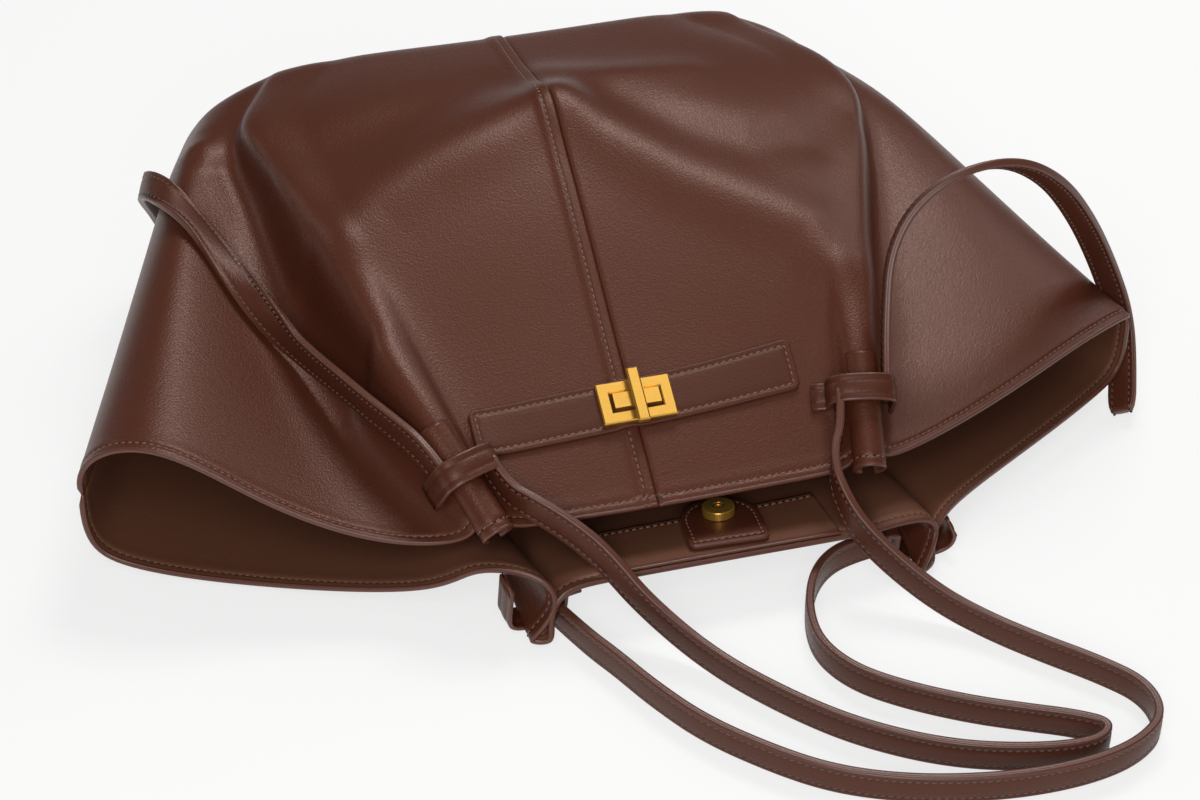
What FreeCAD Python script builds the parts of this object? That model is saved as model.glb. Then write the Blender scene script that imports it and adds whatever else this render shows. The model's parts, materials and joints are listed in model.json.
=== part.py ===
import FreeCAD, Part
import math
import os
import Sketcher

# Trapeze bag lying on its back, front panel up, mouth towards -Y, base towards +Y.
# Millimetres, Z up, the floor at Z = 0.

V = FreeCAD.Vector
UP = V(0, 0, 1)

# Driving dimensions: alias, value, meaning
SIZES = (
    ("mouth_width", 500, "across the open mouth, tip to tip"),
    ("bag_height", 302, "base to front rim"),
    ("back_reach", 20.8, "how far the back rim lies beyond the front rim"),
    ("base_width", 334, "width of the bag at its base"),
    ("bag_depth", 118, "depth of the bag at its base"),
    ("base_round", 24, "round between walls and base"),
    ("leather", 2.4, "wall of the panels"),
    ("seam_gap", 0.3, "clearance between pieces that lie on each other"),
    ("facing_depth", 36, "width of the strip inside the mouth"),
    ("facing_thick", 1.4, "thickness of that strip"),
    ("band_length", 150, "front band"),
    ("band_width", 23, "front band"),
    ("band_thick", 2.2, "front band"),
    ("band_setback", 48, "band centre from the front rim"),
    ("base_lap", 6, "base panel beyond the base edge"),
    ("board_thick", 2.5, "stiff board in the base"),
    ("board_margin", 8, "board inside the base panel"),
    ("strap_width", 14, "straps"),
    ("strap_thick", 3.6, "straps"),
    ("keeper_band", 12.5, "length of a keeper along its fold"),
    ("keeper_thick", 2, "leather of a keeper"),
    ("keeper_setback", 20, "keeper from the rim"),
    ("left_setback", 15.5, "front left keeper from the rim"),
    ("keeper_room", 5.4, "room beside the fold for a strap"),
    ("keeper_foot", 6, "sewn foot of a keeper"),
    ("front_slack", 5, "front keeper above its fold"),
    ("lock_width", 34, "lock plate"),
    ("lock_height", 20, "lock plate"),
    ("plate_thick", 2.6, "lock plate"),
    ("window_width", 23.5, "window in the lock plate"),
    ("window_height", 9.4, "window in the lock plate"),
    ("block_gap", 1.1, "dark gap round the inner block"),
    ("block_thick", 4.2, "inner block"),
    ("bar_width", 5.4, "turn bar"),
    ("bar_length", 26, "turn bar"),
    ("bar_thick", 3.4, "turn bar"),
    ("bar_lift", 1.2, "turn bar above the inner block"),
    ("spindle_dia", 4, "spindle of the turn bar"),
    ("spindle_gap", 0.25, "running clearance of the spindle"),
    ("punch_gap", 1.2, "clearance of the spindle in the holes punched through the leather"),
    ("hold_width", 26, "plate behind the lock"),
    ("hold_height", 14, "plate behind the lock"),
    ("hold_thick", 1.2, "plate behind the lock"),
    ("patch_width", 36, "snap patch"),
    ("patch_length", 38, "snap patch"),
    ("patch_thick", 3, "snap patch"),
    ("patch_inset", 4, "snap patch from the back rim"),
    ("snap_dia", 15, "magnetic snap"),
    ("snap_thick", 4, "magnetic snap socket"),
    ("snap_eye", 5.6, "well in the snap socket"),
    ("snap_wall", 0.6, "sheet of the snap socket"),
    ("magnet_dia", 12.5, "magnet in the snap socket"),
    ("stud_thick", 1.6, "flange of the snap stud"),
    ("stud_post", 4.8, "post of the snap stud"),
    ("washer_thick", 0.8, "washers behind the snap"),
)

doc = FreeCAD.newDocument("trapeze_bag")
sheet = doc.addObject("Spreadsheet::Sheet", "Sizes")
for row, (alias, value, meaning) in enumerate(SIZES, start=1):
    sheet.set("A%d" % row, alias)
    sheet.set("B%d" % row, str(value))
    sheet.set("C%d" % row, meaning)
    sheet.setAlias("B%d" % row, alias)
doc.recompute()


def size(alias):
    return float(sheet.get(alias))


# The lines plan was drawn at these sizes and follows the sheet from there.
DRAWN_WIDTH = 500.0
DRAWN_HEIGHT = 302.0
DRAWN_DEPTH = 118.0
wide = size("mouth_width") / DRAWN_WIDTH
tall = size("bag_height") / DRAWN_HEIGHT
deep = size("bag_depth") / DRAWN_DEPTH
# Puts the middle of the bag over the origin
FRAME_SHIFT = 14.0
base_y = size("bag_height") / 2 + FRAME_SHIFT * tall

# Lines plan. Each line runs from the base (0) to the rim (1): share of the way, millimetres.
# Heights of the front, from each side seam inwards to the centre seam
SEAM = {-1: ((0, 57), (1, 46)), 1: ((0, 57), (0.6, 53), (1, 49))}
CROWN = {
    -1: ((0, 93), (0.1, 93), (0.2, 97), (0.45, 98), (0.7, 93), (1, 89)),
    1: ((0, 84), (0.1, 82), (0.28, 88), (0.41, 86), (0.6, 82), (0.8, 70), (1, 54)),
}
WING = {
    -1: ((0, 102), (0.1, 100), (0.2, 102), (0.45, 92), (0.7, 75), (1, 56)),
    1: ((0, 96), (0.1, 92), (0.28, 93), (0.41, 93), (0.6, 84), (0.8, 67), (1, 51)),
}
SLOPE = {
    -1: ((0, 109), (0.1, 106), (0.2, 103), (0.4, 84), (0.6, 62), (0.8, 47), (1, 38)),
    1: ((0, 106), (0.1, 102), (0.28, 99), (0.4, 94), (0.6, 78), (0.8, 60), (1, 48)),
}
VALLEY = {
    -1: ((0, 114), (0.1, 109), (0.2, 103), (0.4, 84), (0.6, 60), (0.8, 47), (1, 40)),
    1: ((0, 113), (0.1, 105), (0.2, 103), (0.4, 92), (0.6, 73), (0.8, 57), (1, 46)),
}
CREST = {
    -1: ((0, 114), (0.1, 113), (0.2, 118), (0.4, 119), (0.6, 107), (0.8, 89), (0.9, 79), (1, 57)),
    1: ((0, 114), (0.1, 112), (0.2, 116), (0.4, 117), (0.6, 107), (0.8, 91), (0.9, 80), (1, 57.5)),
}
FOOT = {
    -1: ((0, 116), (0.2, 122), (0.4, 124), (0.5, 120), (0.6, 107), (0.8, 76), (0.9, 61), (1, 46)),
    1: ((0, 116), (0.2, 122), (0.4, 121), (0.6, 113), (0.72, 104), (0.82, 83), (0.9, 61), (1, 46)),
}
QUARTER = {
    -1: (
        (0, 115), (0.07, 121), (0.2, 128), (0.32, 132), (0.46, 130),
        (0.6, 108), (0.75, 82), (0.9, 61), (1, 46),
    ),
    1: (
        (0, 115), (0.07, 121), (0.2, 127), (0.4, 128), (0.54, 123),
        (0.66, 111), (0.78, 86), (0.9, 62), (1, 46),
    ),
}
CENTRE = ((0, 114), (0.05, 119), (0.2, 127), (0.37, 142), (0.57, 115), (0.77, 80), (0.91, 60), (1, 45))
# Distance of each front fold from the middle, and half its width
FOLD_X = {
    -1: ((0, 98), (0.1, 116), (0.2, 136), (0.4, 126), (0.6, 115.5), (0.8, 103), (0.93, 89), (1, 80)),
    1: ((0, 96), (0.1, 107), (0.2, 134), (0.3, 148), (0.4, 142), (0.6, 121), (0.8, 106), (0.93, 97), (1, 93)),
}
FOLD_HALF = ((0, 14), (0.3, 12), (0.6, 11), (0.85, 8), (1, 5.4))
# How far each front fold has closed to a tube
TUBE = ((0, 0.3), (0.6, 0.4), (0.85, 0.8), (1, 1))
# Heights of the back, how far its folds are drawn in, the hump beside each and where each lies
BACK_WING = {-1: ((0, 1), (0.5, 1), (1, 3)), 1: ((0, 1), (0.5, 1), (0.8, 4), (1, 11))}
BACK_MIDDLE = ((0, 1), (0.3, 1.3), (0.5, 2), (0.75, 9), (1, 24))
BACK_KEEL = ((0, 1), (0.3, 1.3), (0.6, 2.8), (0.8, 7.8), (0.93, 8.8), (1, 2.4))
BACK_DRAWN = ((0, 0), (0.5, 0), (0.75, 0.4), (0.9, 0.85), (1, 1))
BACK_HUMP = {-1: 33, 1: 24}
BACK_FOLD_X = {-1: ((0, -80), (0.5, -90), (1, -64)), 1: ((0, 80), (0.5, 110), (1, 115))}
# Way that the tips fall short of the middle of the rim, and that the back folds reach beyond it
TIP_SHORT = 72.0
FOLD_REACH = 11.0
SEAM_X = -4.0
# Stations of the lines plan; the first lies inside the base round
STATIONS = (0, 0, 0.08, 0.2, 0.36, 0.54, 0.72, 0.88, 1)


def along(line, share):
    """Height of a line at a share of the way from base to rim, on a smooth curve through its points."""
    count = len(line)
    at = 0
    while at < count - 2 and share > line[at + 1][0]:
        at += 1
    (x0, y0), (x1, y1) = line[at], line[at + 1]

    def lean(k):
        before, after = line[max(k - 1, 0)], line[min(k + 1, count - 1)]
        return (after[1] - before[1]) / (after[0] - before[0])

    span = x1 - x0
    t = (share - x0) / span
    rise = (2 * t ** 3 - 3 * t ** 2 + 1) * y0 + (3 * t ** 2 - 2 * t ** 3) * y1
    return rise + span * ((t ** 3 - 2 * t ** 2 + t) * lean(at) + (t ** 3 - t ** 2) * lean(at + 1))


def point(x, y, z):
    """A point of the lines plan, its width and depth scaled to the bag's."""
    return V(x * wide, y, z * deep)


def inset_of(index):
    """How far a station's points lie inside the base round, as drawn."""
    return size("base_round") / deep if index == 0 else 0.0


def half_width(index):
    """Distance of a side seam from the middle at a station, as drawn."""
    width = size("base_width") + STATIONS[index] * (size("mouth_width") - size("base_width"))
    return width / 2 / wide - inset_of(index)


def tip_line(share):
    """Where the side seams lie at a share of the way to the rim."""
    return base_y - share * (size("bag_height") - TIP_SHORT * tall)


def front_row(index, side):
    """Poles of one front half at one station, from the side seam to the centre seam."""
    share = STATIONS[index]
    inset = inset_of(index)
    half = half_width(index)
    seam = along(SEAM[side], share)
    crown = along(CROWN[side], share) - inset
    fold_x = along(FOLD_X[side], share)
    fold = along(FOLD_HALF, share)
    valley = along(VALLEY[side], share) - inset
    crest = along(CREST[side], share) - inset
    foot = along(FOOT[side], share) - inset
    tube = along(TUBE, share)
    wing = half - fold_x - 1.3 * fold
    rim_y = base_y - share * size("bag_height")
    tip_y = tip_line(share)
    half_gap = size("seam_gap") / 2
    centre = SEAM_X + side * half_gap / wide
    row = (
        (half, seam + half_gap / deep),
        (half + 2, seam + 0.45 * (crown - seam)),
        (half - 0.16 * wing - 3, crown),
        (half - 0.46 * wing, along(WING[side], share) - inset),
        (half - 0.75 * wing, along(SLOPE[side], share) - inset),
        (fold_x + (1.3 - 0.3 * tube) * fold, valley),
        (fold_x + (1.1 + 0.3 * tube) * fold, crest),
        (fold_x - 0.1 * fold, crest + 0.2 * fold),
        (fold_x - (1.0 + 0.2 * tube) * fold, foot + tube * (crest - foot)),
        (fold_x - (1.6 - 0.2 * tube) * fold, foot),
        (0.62 * fold_x, along(QUARTER[side], share) - inset),
        (0.25 * fold_x, along(CENTRE, share) - inset),
        (side * centre, along(CENTRE, share) - inset),
    )
    poles = []
    for x, z in row:
        bend = min(1.0, max(0.0, (x - fold_x) / (half - fold_x)))
        poles.append(point(side * x, rim_y + (tip_y - rim_y) * bend ** 1.3, z))
    return poles


def back_row(index):
    """Poles of the back at one station, from the left side seam to the right one."""
    share = STATIONS[index]
    inset = inset_of(index)
    drawn = along(BACK_DRAWN, share)
    middle = along(BACK_MIDDLE, share) + inset
    keel = along(BACK_KEEL, share) + inset
    half = half_width(index)
    half_gap = size("seam_gap") / 2 / deep
    rim_y = base_y - share * (size("bag_height") + size("back_reach"))
    tip_y = tip_line(share)

    def seam_end(side):
        seam = along(SEAM[side], share) - half_gap
        level = along(BACK_WING[side], share) + inset
        return [(side * half, seam, 0), (side * (half + 2), 0.4 * seam, 0), (side * (half - 8), level, 0)]

    def folded(side, hump, before, after):
        """Poles of one pinched fold: a hump, then a narrow loop that hangs to the floor."""
        x, rim_x = along(BACK_FOLD_X[side], share), along(BACK_FOLD_X[side], 1)
        narrowed = half / half_width(len(STATIONS) - 1)
        reach = share * FOLD_REACH * tall
        shape = (
            (-38, -38, 0, before + 0.25 * drawn * (hump - before)),
            (-30, -27, 0, before + drawn * (hump - before)),
            (-22, 2, 0, before + drawn * (hump - before)),
            (-14, 8, 0.4, before + drawn * (0.6 * hump - before)),
            (-6, -3, 0.8, before + drawn * (0.3 * hump - before)),
            (3, -9, 1, keel),
            (12, 5, 1, keel),
            (20, 4, 0.7, after + 0.6 * drawn * (keel - after)),
            (29, 9, 0.2, after),
            (38, 26, 0, after),
        )
        return [
            ((1 - drawn) * (rim_x + flat) * narrowed + drawn * (x + pinched), z, push * reach)
            for flat, pinched, push, z in shape
        ]

    wing_left = along(BACK_WING[-1], share) + inset
    wing_right = along(BACK_WING[1], share) + inset
    left = folded(-1, BACK_HUMP[-1] + inset, wing_left + 0.2 * (middle - wing_left), middle)
    right = folded(1, BACK_HUMP[1] + inset, middle, wing_right + 0.4 * (middle - wing_right))
    row = seam_end(-1)
    row.append(((row[-1][0] + left[0][0]) / 2, wing_left, 0))
    row += left
    row.append(((left[-1][0] + right[0][0]) / 2, middle, 0))
    row += right
    end = seam_end(1)
    row.append(((end[-1][0] + right[-1][0]) / 2, wing_right, 0))
    row += reversed(end)
    poles = []
    for x, z, push in row:
        fold_x = right[4][0] if x > 0 else left[4][0]
        bend = min(1.0, max(0.0, (x - fold_x) / (math.copysign(half, x) - fold_x)))
        poles.append(point(x, rim_y + (tip_y - rim_y) * bend ** 0.9 - push, z))
    return poles


def clamped(count):
    """Knots and multiplicities of a clamped cubic with this many poles."""
    inner = count - 4
    knots = [k / (inner + 1.0) for k in range(inner + 2)]
    return knots, [4] + [1] * inner + [4]


def spline_surface(net):
    surface = Part.BSplineSurface()
    u_knots, u_mults = clamped(len(net))
    v_knots, v_mults = clamped(len(net[0]))
    surface.buildFromPolesMultsKnots(net, u_mults, v_mults, u_knots, v_knots, False, False, 3, 3)
    return surface


def interpolated(grid):
    surface = Part.BSplineSurface()
    surface.interpolate(grid)
    return surface


def greville(index, count):
    """Parameter that a pole of a clamped cubic acts on most."""
    knots = [0.0] * 4 + [k / (count - 3.0) for k in range(1, count - 3)] + [1.0] * 4
    return sum(knots[index + 1:index + 4]) / 3


def outward(surface, u, v, side):
    """Unit normal of a panel, pointing out of the bag."""
    inside = 1e-4
    u = min(max(u, inside), 1 - inside)
    v = min(max(v, inside), 1 - inside)
    return surface.normal(u, v) * side


def patch(surface, u_span, v_span):
    """Face of one part of a surface, with only the poles it needs."""
    part_of = surface.copy()
    part_of.segment(*u_span, *v_span)
    return part_of.toShape()


def walled(outer, inner, u_stops=(0, 1), v_stops=(0, 1)):
    """Solid between two surfaces that have the same edges in the same order, each in a grid of faces."""
    u_spans, v_spans = list(zip(u_stops, u_stops[1:])), list(zip(v_stops, v_stops[1:]))
    faces = [patch(surface, u, v) for surface in (outer, inner) for u in u_spans for v in v_spans]
    for end in (0, 1):
        edges = [(outer.uIso(end), inner.uIso(end), span) for span in v_spans]
        edges += [(outer.vIso(end), inner.vIso(end), span) for span in u_spans]
        for one, other, span in edges:
            faces.append(Part.makeRuledSurface(one.toShape(*span), other.toShape(*span)))
    shell = Part.makeShell(faces)
    shell.sewShape()
    solid = Part.makeSolid(shell)
    solid.fixTolerance(1e-4)
    if solid.Volume < 0:
        solid.reverse()
    return solid


def even_places(count, line):
    """Parameters along a line of a surface, spaced so that poles set there measure out its length."""
    fine = [k / float(EVENING_STEPS) for k in range(EVENING_STEPS + 1)]
    run = [0.0]
    for before, after in zip(fine, fine[1:]):
        run.append(run[-1] + line.value(before).distanceToPoint(line.value(after)))
    places, at = [], 0
    for k in range(count):
        goal = run[-1] * greville(k, count)
        while at < EVENING_STEPS - 1 and run[at + 1] < goal:
            at += 1
        share = min(1.0, (goal - run[at]) / (run[at + 1] - run[at]))
        places.append(fine[at] + share * (fine[at + 1] - fine[at]))
    return places


def add_shape(label, shape):
    """A document object for a form that is drawn by its surfaces."""
    feature = doc.addObject("Part::Feature", label)
    feature.Label = label
    feature.Shape = shape
    return feature


class Panel:
    """One leather panel of the bag: its outer surface and the side of it that faces out."""

    def __init__(self, net, flat_share, faces_up):
        self.outer = spline_surface(net)
        self.side = 1 if (self.outer.normal(0.5, flat_share).z > 0) == faces_up else -1

    def solid(self, columns, even_row, u_stops, v_stops):
        """The panel's leather, on surfaces whose parameters follow its length so that it meshes evenly."""
        u_places = even_places(PANEL_ROWS, self.outer.vIso(0))
        v_places = even_places(columns, self.outer.uIso(even_row))
        outer, inner = [], []
        for u in u_places:
            spots = [self.outer.value(u, v) for v in v_places]
            normals = [outward(self.outer, u, v, self.side) for v in v_places]
            outer.append(spots)
            inner.append([spot - normal * size("leather") for spot, normal in zip(spots, normals)])
        return walled(spline_surface(outer), spline_surface(inner), u_stops, v_stops)

    def at(self, guess, height=0.0):
        """Point of the panel nearest to a guess, moved out by a height, and the normal there."""
        u, v = self.outer.parameter(guess)
        normal = outward(self.outer, u, v, self.side)
        return self.outer.value(u, v) + normal * height, normal


# Grid of poles on which each panel is drawn for its solid: rows, columns, the row that is measured
# across, and where the panel is parted into faces, from base to rim and across
PANEL_ROWS = 41
FRONT_GRID = 81, 0.05, (0, 0.2, 0.4, 0.6, 0.8, 1), (0, 0.2, 0.4, 0.6, 0.8, 1)
BACK_GRID = 171, 0.0, (0, 0.25, 0.5, 1), (0, 0.22, 0.54, 0.81, 1)
EVENING_STEPS = 1000
rows = range(len(STATIONS))
front_left = Panel([front_row(i, -1) for i in rows], 0.95, True)
front_right = Panel([front_row(i, 1) for i in rows], 0.95, True)
back = Panel([back_row(i) for i in rows], 0.5, False)
gap = size("seam_gap")
seam_x = SEAM_X * wide


def front_at(x, y, height=0.0):
    """Point and normal on the front at a place seen from above."""
    panel = front_left if x < seam_x else front_right
    z = size("bag_depth") / 2
    for step in range(6):
        spot, normal = panel.at(V(x, y, z), height)
        level = V(normal.x, normal.y, 0)
        z = spot.z + (spot - V(x, y, spot.z)).dot(level) / max(normal.z, 0.2)
    return spot, normal


def frame(origin, x_axis, z_axis):
    """Placement with its Z along one direction and its X as near as can be to another."""
    z = V(z_axis).normalize()
    y = z.cross(x_axis).normalize()
    x = y.cross(z)
    return FreeCAD.Placement(FreeCAD.Matrix(
        x.x, y.x, z.x, origin.x,
        x.y, y.y, z.y, origin.y,
        x.z, y.z, z.z, origin.z,
        0, 0, 0, 1,
    ))


def raised(place, height):
    """The same placement, moved along its own Z."""
    return place.multiply(FreeCAD.Placement(V(0, 0, height), FreeCAD.Rotation()))


def strip(panel_points, low, high):
    """Solid of a strip that follows a panel, between two heights over its points."""
    lower = [[spot + normal * low for spot, normal in line] for line in panel_points]
    upper = [[spot + normal * high for spot, normal in line] for line in panel_points]
    return walled(interpolated(upper), interpolated(lower))


def new_body(label):
    body = doc.addObject("PartDesign::Body", label)
    body.Label = label
    return body


def new_sketch(body, name, lift=None):
    """Sketch on the body's own XY plane, raised by an expression if one is given."""
    sketch = body.newObject("Sketcher::SketchObject", name)
    plane = [feature for feature in body.Origin.OriginFeatures if feature.Role == "XY_Plane"][0]
    sketch.AttachmentSupport = [(plane, "")]
    sketch.MapMode = "FlatFace"
    if lift:
        sketch.setExpression("AttachmentOffset.Base.z", lift)
    return sketch


def draw_rectangle(sketch, width, height):
    """Rectangle round the sketch's origin, its sides bound to two expressions."""
    corners = [V(-5, -5, 0), V(5, -5, 0), V(5, 5, 0), V(-5, 5, 0)]
    lines = [sketch.addGeometry(Part.LineSegment(corners[k], corners[(k + 1) % 4])) for k in range(4)]
    for k in range(4):
        sketch.addConstraint(Sketcher.Constraint("Coincident", lines[k], 2, lines[(k + 1) % 4], 1))
        sketch.addConstraint(Sketcher.Constraint("Vertical" if k % 2 else "Horizontal", lines[k]))
    sketch.addConstraint(Sketcher.Constraint("Symmetric", lines[0], 1, lines[2], 1, -1, 1))
    across = sketch.addConstraint(Sketcher.Constraint("Distance", lines[0], 10))
    along_y = sketch.addConstraint(Sketcher.Constraint("Distance", lines[1], 10))
    sketch.setExpression("Constraints[%d]" % across, width)
    sketch.setExpression("Constraints[%d]" % along_y, height)


def draw_circle(sketch, diameter):
    ring = sketch.addGeometry(Part.Circle(V(0, 0, 0), UP, 5))
    sketch.addConstraint(Sketcher.Constraint("Coincident", ring, 3, -1, 1))
    wide_as = sketch.addConstraint(Sketcher.Constraint("Diameter", ring, 10))
    sketch.setExpression("Constraints[%d]" % wide_as, diameter)


def pad(body, sketch, length):
    feature = body.newObject("PartDesign::Pad", "Pad_" + sketch.Name)
    feature.Profile = sketch
    feature.setExpression("Length", length)
    doc.recompute()
    return feature


def pocket(body, sketch, depth):
    """Cut upwards from the sketch's plane."""
    feature = body.newObject("PartDesign::Pocket", "Pocket_" + sketch.Name)
    feature.Profile = sketch
    feature.Reversed = True
    feature.setExpression("Length", depth)
    doc.recompute()
    return feature


def edges_where(feature, wanted):
    return ["Edge%d" % (k + 1) for k, edge in enumerate(feature.Shape.Edges) if wanted(edge)]


def upright(edge):
    """A straight edge along the body's Z."""
    low, high = edge.BoundBox.ZMin, edge.BoundBox.ZMax
    return len(edge.Vertexes) == 2 and abs(high - low - edge.Length) < 1e-6 and edge.Length > 1e-3


def topmost(feature):
    """Test for the edges of the feature's highest outline."""
    height = feature.Shape.BoundBox.ZMax
    return lambda edge: edge.BoundBox.ZMin > height - 1e-6


def dress(body, kind, base, edges, amount, bound):
    """Fillet or chamfer some edges by an expression."""
    feature = body.newObject("PartDesign::" + kind, kind + "_" + base.Name)
    feature.Base = (base, edges)
    feature.setExpression(amount, bound)
    doc.recompute()
    return feature


def plate(label, width, height, thick, round_edges=None, bore=None, chamfer=None):
    """Plate with round corners, an optional middle bore and an optional chamfered top."""
    body = new_body(label)
    outline = new_sketch(body, label + "_outline")
    draw_rectangle(outline, width, height)
    top = pad(body, outline, thick)
    if bore:
        hole = new_sketch(body, label + "_bore")
        draw_circle(hole, bore)
        top = pocket(body, hole, thick)
    if round_edges:
        top = dress(body, "Fillet", top, edges_where(top, upright), "Radius", round_edges)
    if chamfer:
        top = dress(body, "Chamfer", top, edges_where(top, topmost(top)), "Size", chamfer)
    return body


def washer(label, outer, bore, thick):
    """Round plate with a bore."""
    body = new_body(label)
    disc = new_sketch(body, label + "_disc")
    draw_circle(disc, outer)
    pad(body, disc, thick)
    if bore:
        hole = new_sketch(body, label + "_bore")
        draw_circle(hole, bore)
        pocket(body, hole, thick)
    return body


# Base: a leather panel lapped over the base edge and a stiff board inside
floor_z = along(BACK_WING[-1], 0) * deep
roof_z = along(CENTRE, 0) * deep
base_middle = V(0, base_y, (floor_z + roof_z) / 2)
base_wide = "(Sizes.base_width - 2 * Sizes.base_round + 2 * Sizes.base_lap)"
base_deep = "(%s - 2 * Sizes.base_round + 2 * Sizes.base_lap)" % round(roof_z - floor_z, 3)
base_panel = plate("base_panel", base_wide, base_deep, "Sizes.leather", "1.5 * Sizes.base_round")
base_panel.Placement = frame(base_middle + V(0, gap, 0), V(-1, 0, 0), V(0, 1, 0))
board_wide = "%s - 2 * Sizes.board_margin" % base_wide
board_deep = "%s - 2 * Sizes.board_margin" % base_deep
base_board = plate("base_board", board_wide, board_deep, "Sizes.board_thick", "1.2 * Sizes.base_round")
board_y = size("leather") + gap + size("board_thick")
base_board.Placement = frame(base_middle - V(0, board_y, 0), V(-1, 0, 0), V(0, 1, 0))

# Band across the front, and the frame of the lock on it
slope_end = base_y - size("bag_height")
rim_spot, rim_normal = front_at(seam_x + 1, slope_end + 1)
down_slope = V(1, 0, 0).cross(front_at(seam_x + 1, slope_end + size("band_setback"))[1])
band_y = rim_spot.y + size("band_setback") * abs(down_slope.y)
BAND_TILT = 0.035


def band_line(share_across):
    """Points of the front along the band, at a share of its width."""
    reach = size("band_length") / 2
    y = band_y + share_across * size("band_width") * abs(down_slope.y)
    stops = [reach * k / 5 for k in range(-5, 6)]
    return [front_at(seam_x + 1 + x, y + BAND_TILT * x) for x in stops]


band_solid = strip([band_line(k / 4) for k in (-2, -1, 0, 1, 2)], gap, gap + size("band_thick"))
band_spot, band_normal = front_at(seam_x + 1, band_y)
band_top = band_spot + band_normal * (2 * gap + size("band_thick"))
lock_frame = frame(band_top, V(1, 0, 0), band_normal)

# Turn lock
lock_plate = plate("lock_plate", "Sizes.lock_width", "Sizes.lock_height", "Sizes.plate_thick")
window = new_sketch(lock_plate, "lock_window")
draw_rectangle(window, "Sizes.window_width", "Sizes.window_height")
opened = pocket(lock_plate, window, "Sizes.plate_thick")
dress(lock_plate, "Chamfer", opened, edges_where(opened, topmost(opened)), "Size", "0.2 * Sizes.plate_thick")
lock_plate.Placement = lock_frame
lock_block = plate(
    "lock_block",
    "Sizes.window_width - 2 * Sizes.block_gap",
    "Sizes.window_height - 2 * Sizes.block_gap",
    "Sizes.block_thick",
    bore="Sizes.spindle_dia + 2 * Sizes.spindle_gap",
)
lock_block.Placement = lock_frame
bar_height = size("block_thick") + size("bar_lift")
lock_turn_bar = plate(
    "lock_turn_bar", "Sizes.bar_width", "Sizes.bar_length", "Sizes.bar_thick", chamfer="0.2 * Sizes.bar_thick"
)
lock_turn_bar.Placement = raised(lock_frame, bar_height)
under_leather = 3 * gap + size("band_thick") + size("leather")
lock_hold_plate = plate(
    "lock_hold_plate", "Sizes.hold_width", "Sizes.hold_height", "Sizes.hold_thick",
    bore="Sizes.spindle_dia + 2 * Sizes.spindle_gap",
)
lock_hold_plate.Placement = raised(lock_frame, -under_leather - size("hold_thick"))
spindle_foot = under_leather + size("hold_thick") + gap
lock_spindle = doc.addObject("Part::Cylinder", "lock_spindle")
lock_spindle.Label = "lock_spindle"
lock_spindle.setExpression("Radius", "Sizes.spindle_dia / 2")
lock_spindle.Height = spindle_foot + bar_height
lock_spindle.Placement = raised(lock_frame, -spindle_foot)
punch = Part.makeCylinder(size("spindle_dia") / 2 + size("punch_gap"), 2 * spindle_foot)
punch.Placement = raised(lock_frame, -2 * spindle_foot)
add_shape("front_band", band_solid.cut(punch))
add_shape("front_panel_left", front_left.solid(*FRONT_GRID).cut(punch))
add_shape("front_panel_right", front_right.solid(*FRONT_GRID).cut(punch))
add_shape("back_panel", back.solid(*BACK_GRID))


# Facings: strips inside the mouth between the folds
def inside(spots, depth):
    """The same places on the inner face of a panel, with normals into the bag."""
    return [(spot - normal * depth, normal * -1) for spot, normal in spots]


def front_facing_line(setback):
    """Points inside the front along its facing, at a distance from the rim."""
    x_from = (FACING_CLEAR["front"] - along(FOLD_X[-1], 1)) * wide
    x_to = (along(FOLD_X[1], 1) - FACING_CLEAR["front"]) * wide
    y = rim_spot.y + setback * abs(down_slope.y)
    return inside([front_at(x_from + (x_to - x_from) * k / 10, y) for k in range(11)], size("leather"))


def back_facing_line(setback):
    """Points inside the back along its facing, at a distance from the rim."""
    v_from, v_to = rim_parameter(back_x_from), rim_parameter(back_x_to)
    u = setback_parameter((v_from + v_to) / 2, setback)
    shares = [v_from + (v_to - v_from) * k / 8 for k in range(9)]
    spots = [(back.outer.value(u, v), outward(back.outer, u, v, back.side)) for v in shares]
    return inside(spots, size("leather"))


def rim_parameter(x):
    """Where the back rim passes a place across the mouth, nearest to its middle."""
    shares = [k / 400.0 for k in range(401)]
    return min(shares, key=lambda v: abs(back.outer.value(1, v).x - x) + abs(v - 0.5))


def setback_parameter(v, distance):
    """Where the back lies a distance in from its rim."""
    rim = back.outer.value(1, v)
    shares = [k / 400.0 for k in range(401)]
    return min(shares, key=lambda u: abs(back.outer.value(u, v).distanceToPoint(rim) - distance))


# How far each facing ends from the folds, and how far its edge lies in from the rim
FACING_CLEAR = {"front": 27.0, "back_left": 33.0, "back_right": 41.0}
FACING_EDGE = 1.0
facing_steps = [FACING_EDGE + (size("facing_depth") - FACING_EDGE) * k / 4 for k in range(5)]
back_x_from = (along(BACK_FOLD_X[-1], 1) + FACING_CLEAR["back_left"]) * wide
back_x_to = (along(BACK_FOLD_X[1], 1) - FACING_CLEAR["back_right"]) * wide
facing_low, facing_high = gap, gap + size("facing_thick")
add_shape("front_facing", strip([front_facing_line(d) for d in facing_steps], facing_low, facing_high))
add_shape("back_facing", strip([back_facing_line(d) for d in facing_steps], facing_low, facing_high))


def draw_outline(sketch, steps):
    """Closed outline: each step is a corner, or a pair of a point on an arc and the arc's end."""
    here = steps[-1][-1]
    for step in steps:
        if len(step) == 1:
            sketch.addGeometry(Part.LineSegment(here, step[0]))
        else:
            sketch.addGeometry(Part.Arc(here, step[0], step[1]))
        here = step[-1]


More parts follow.
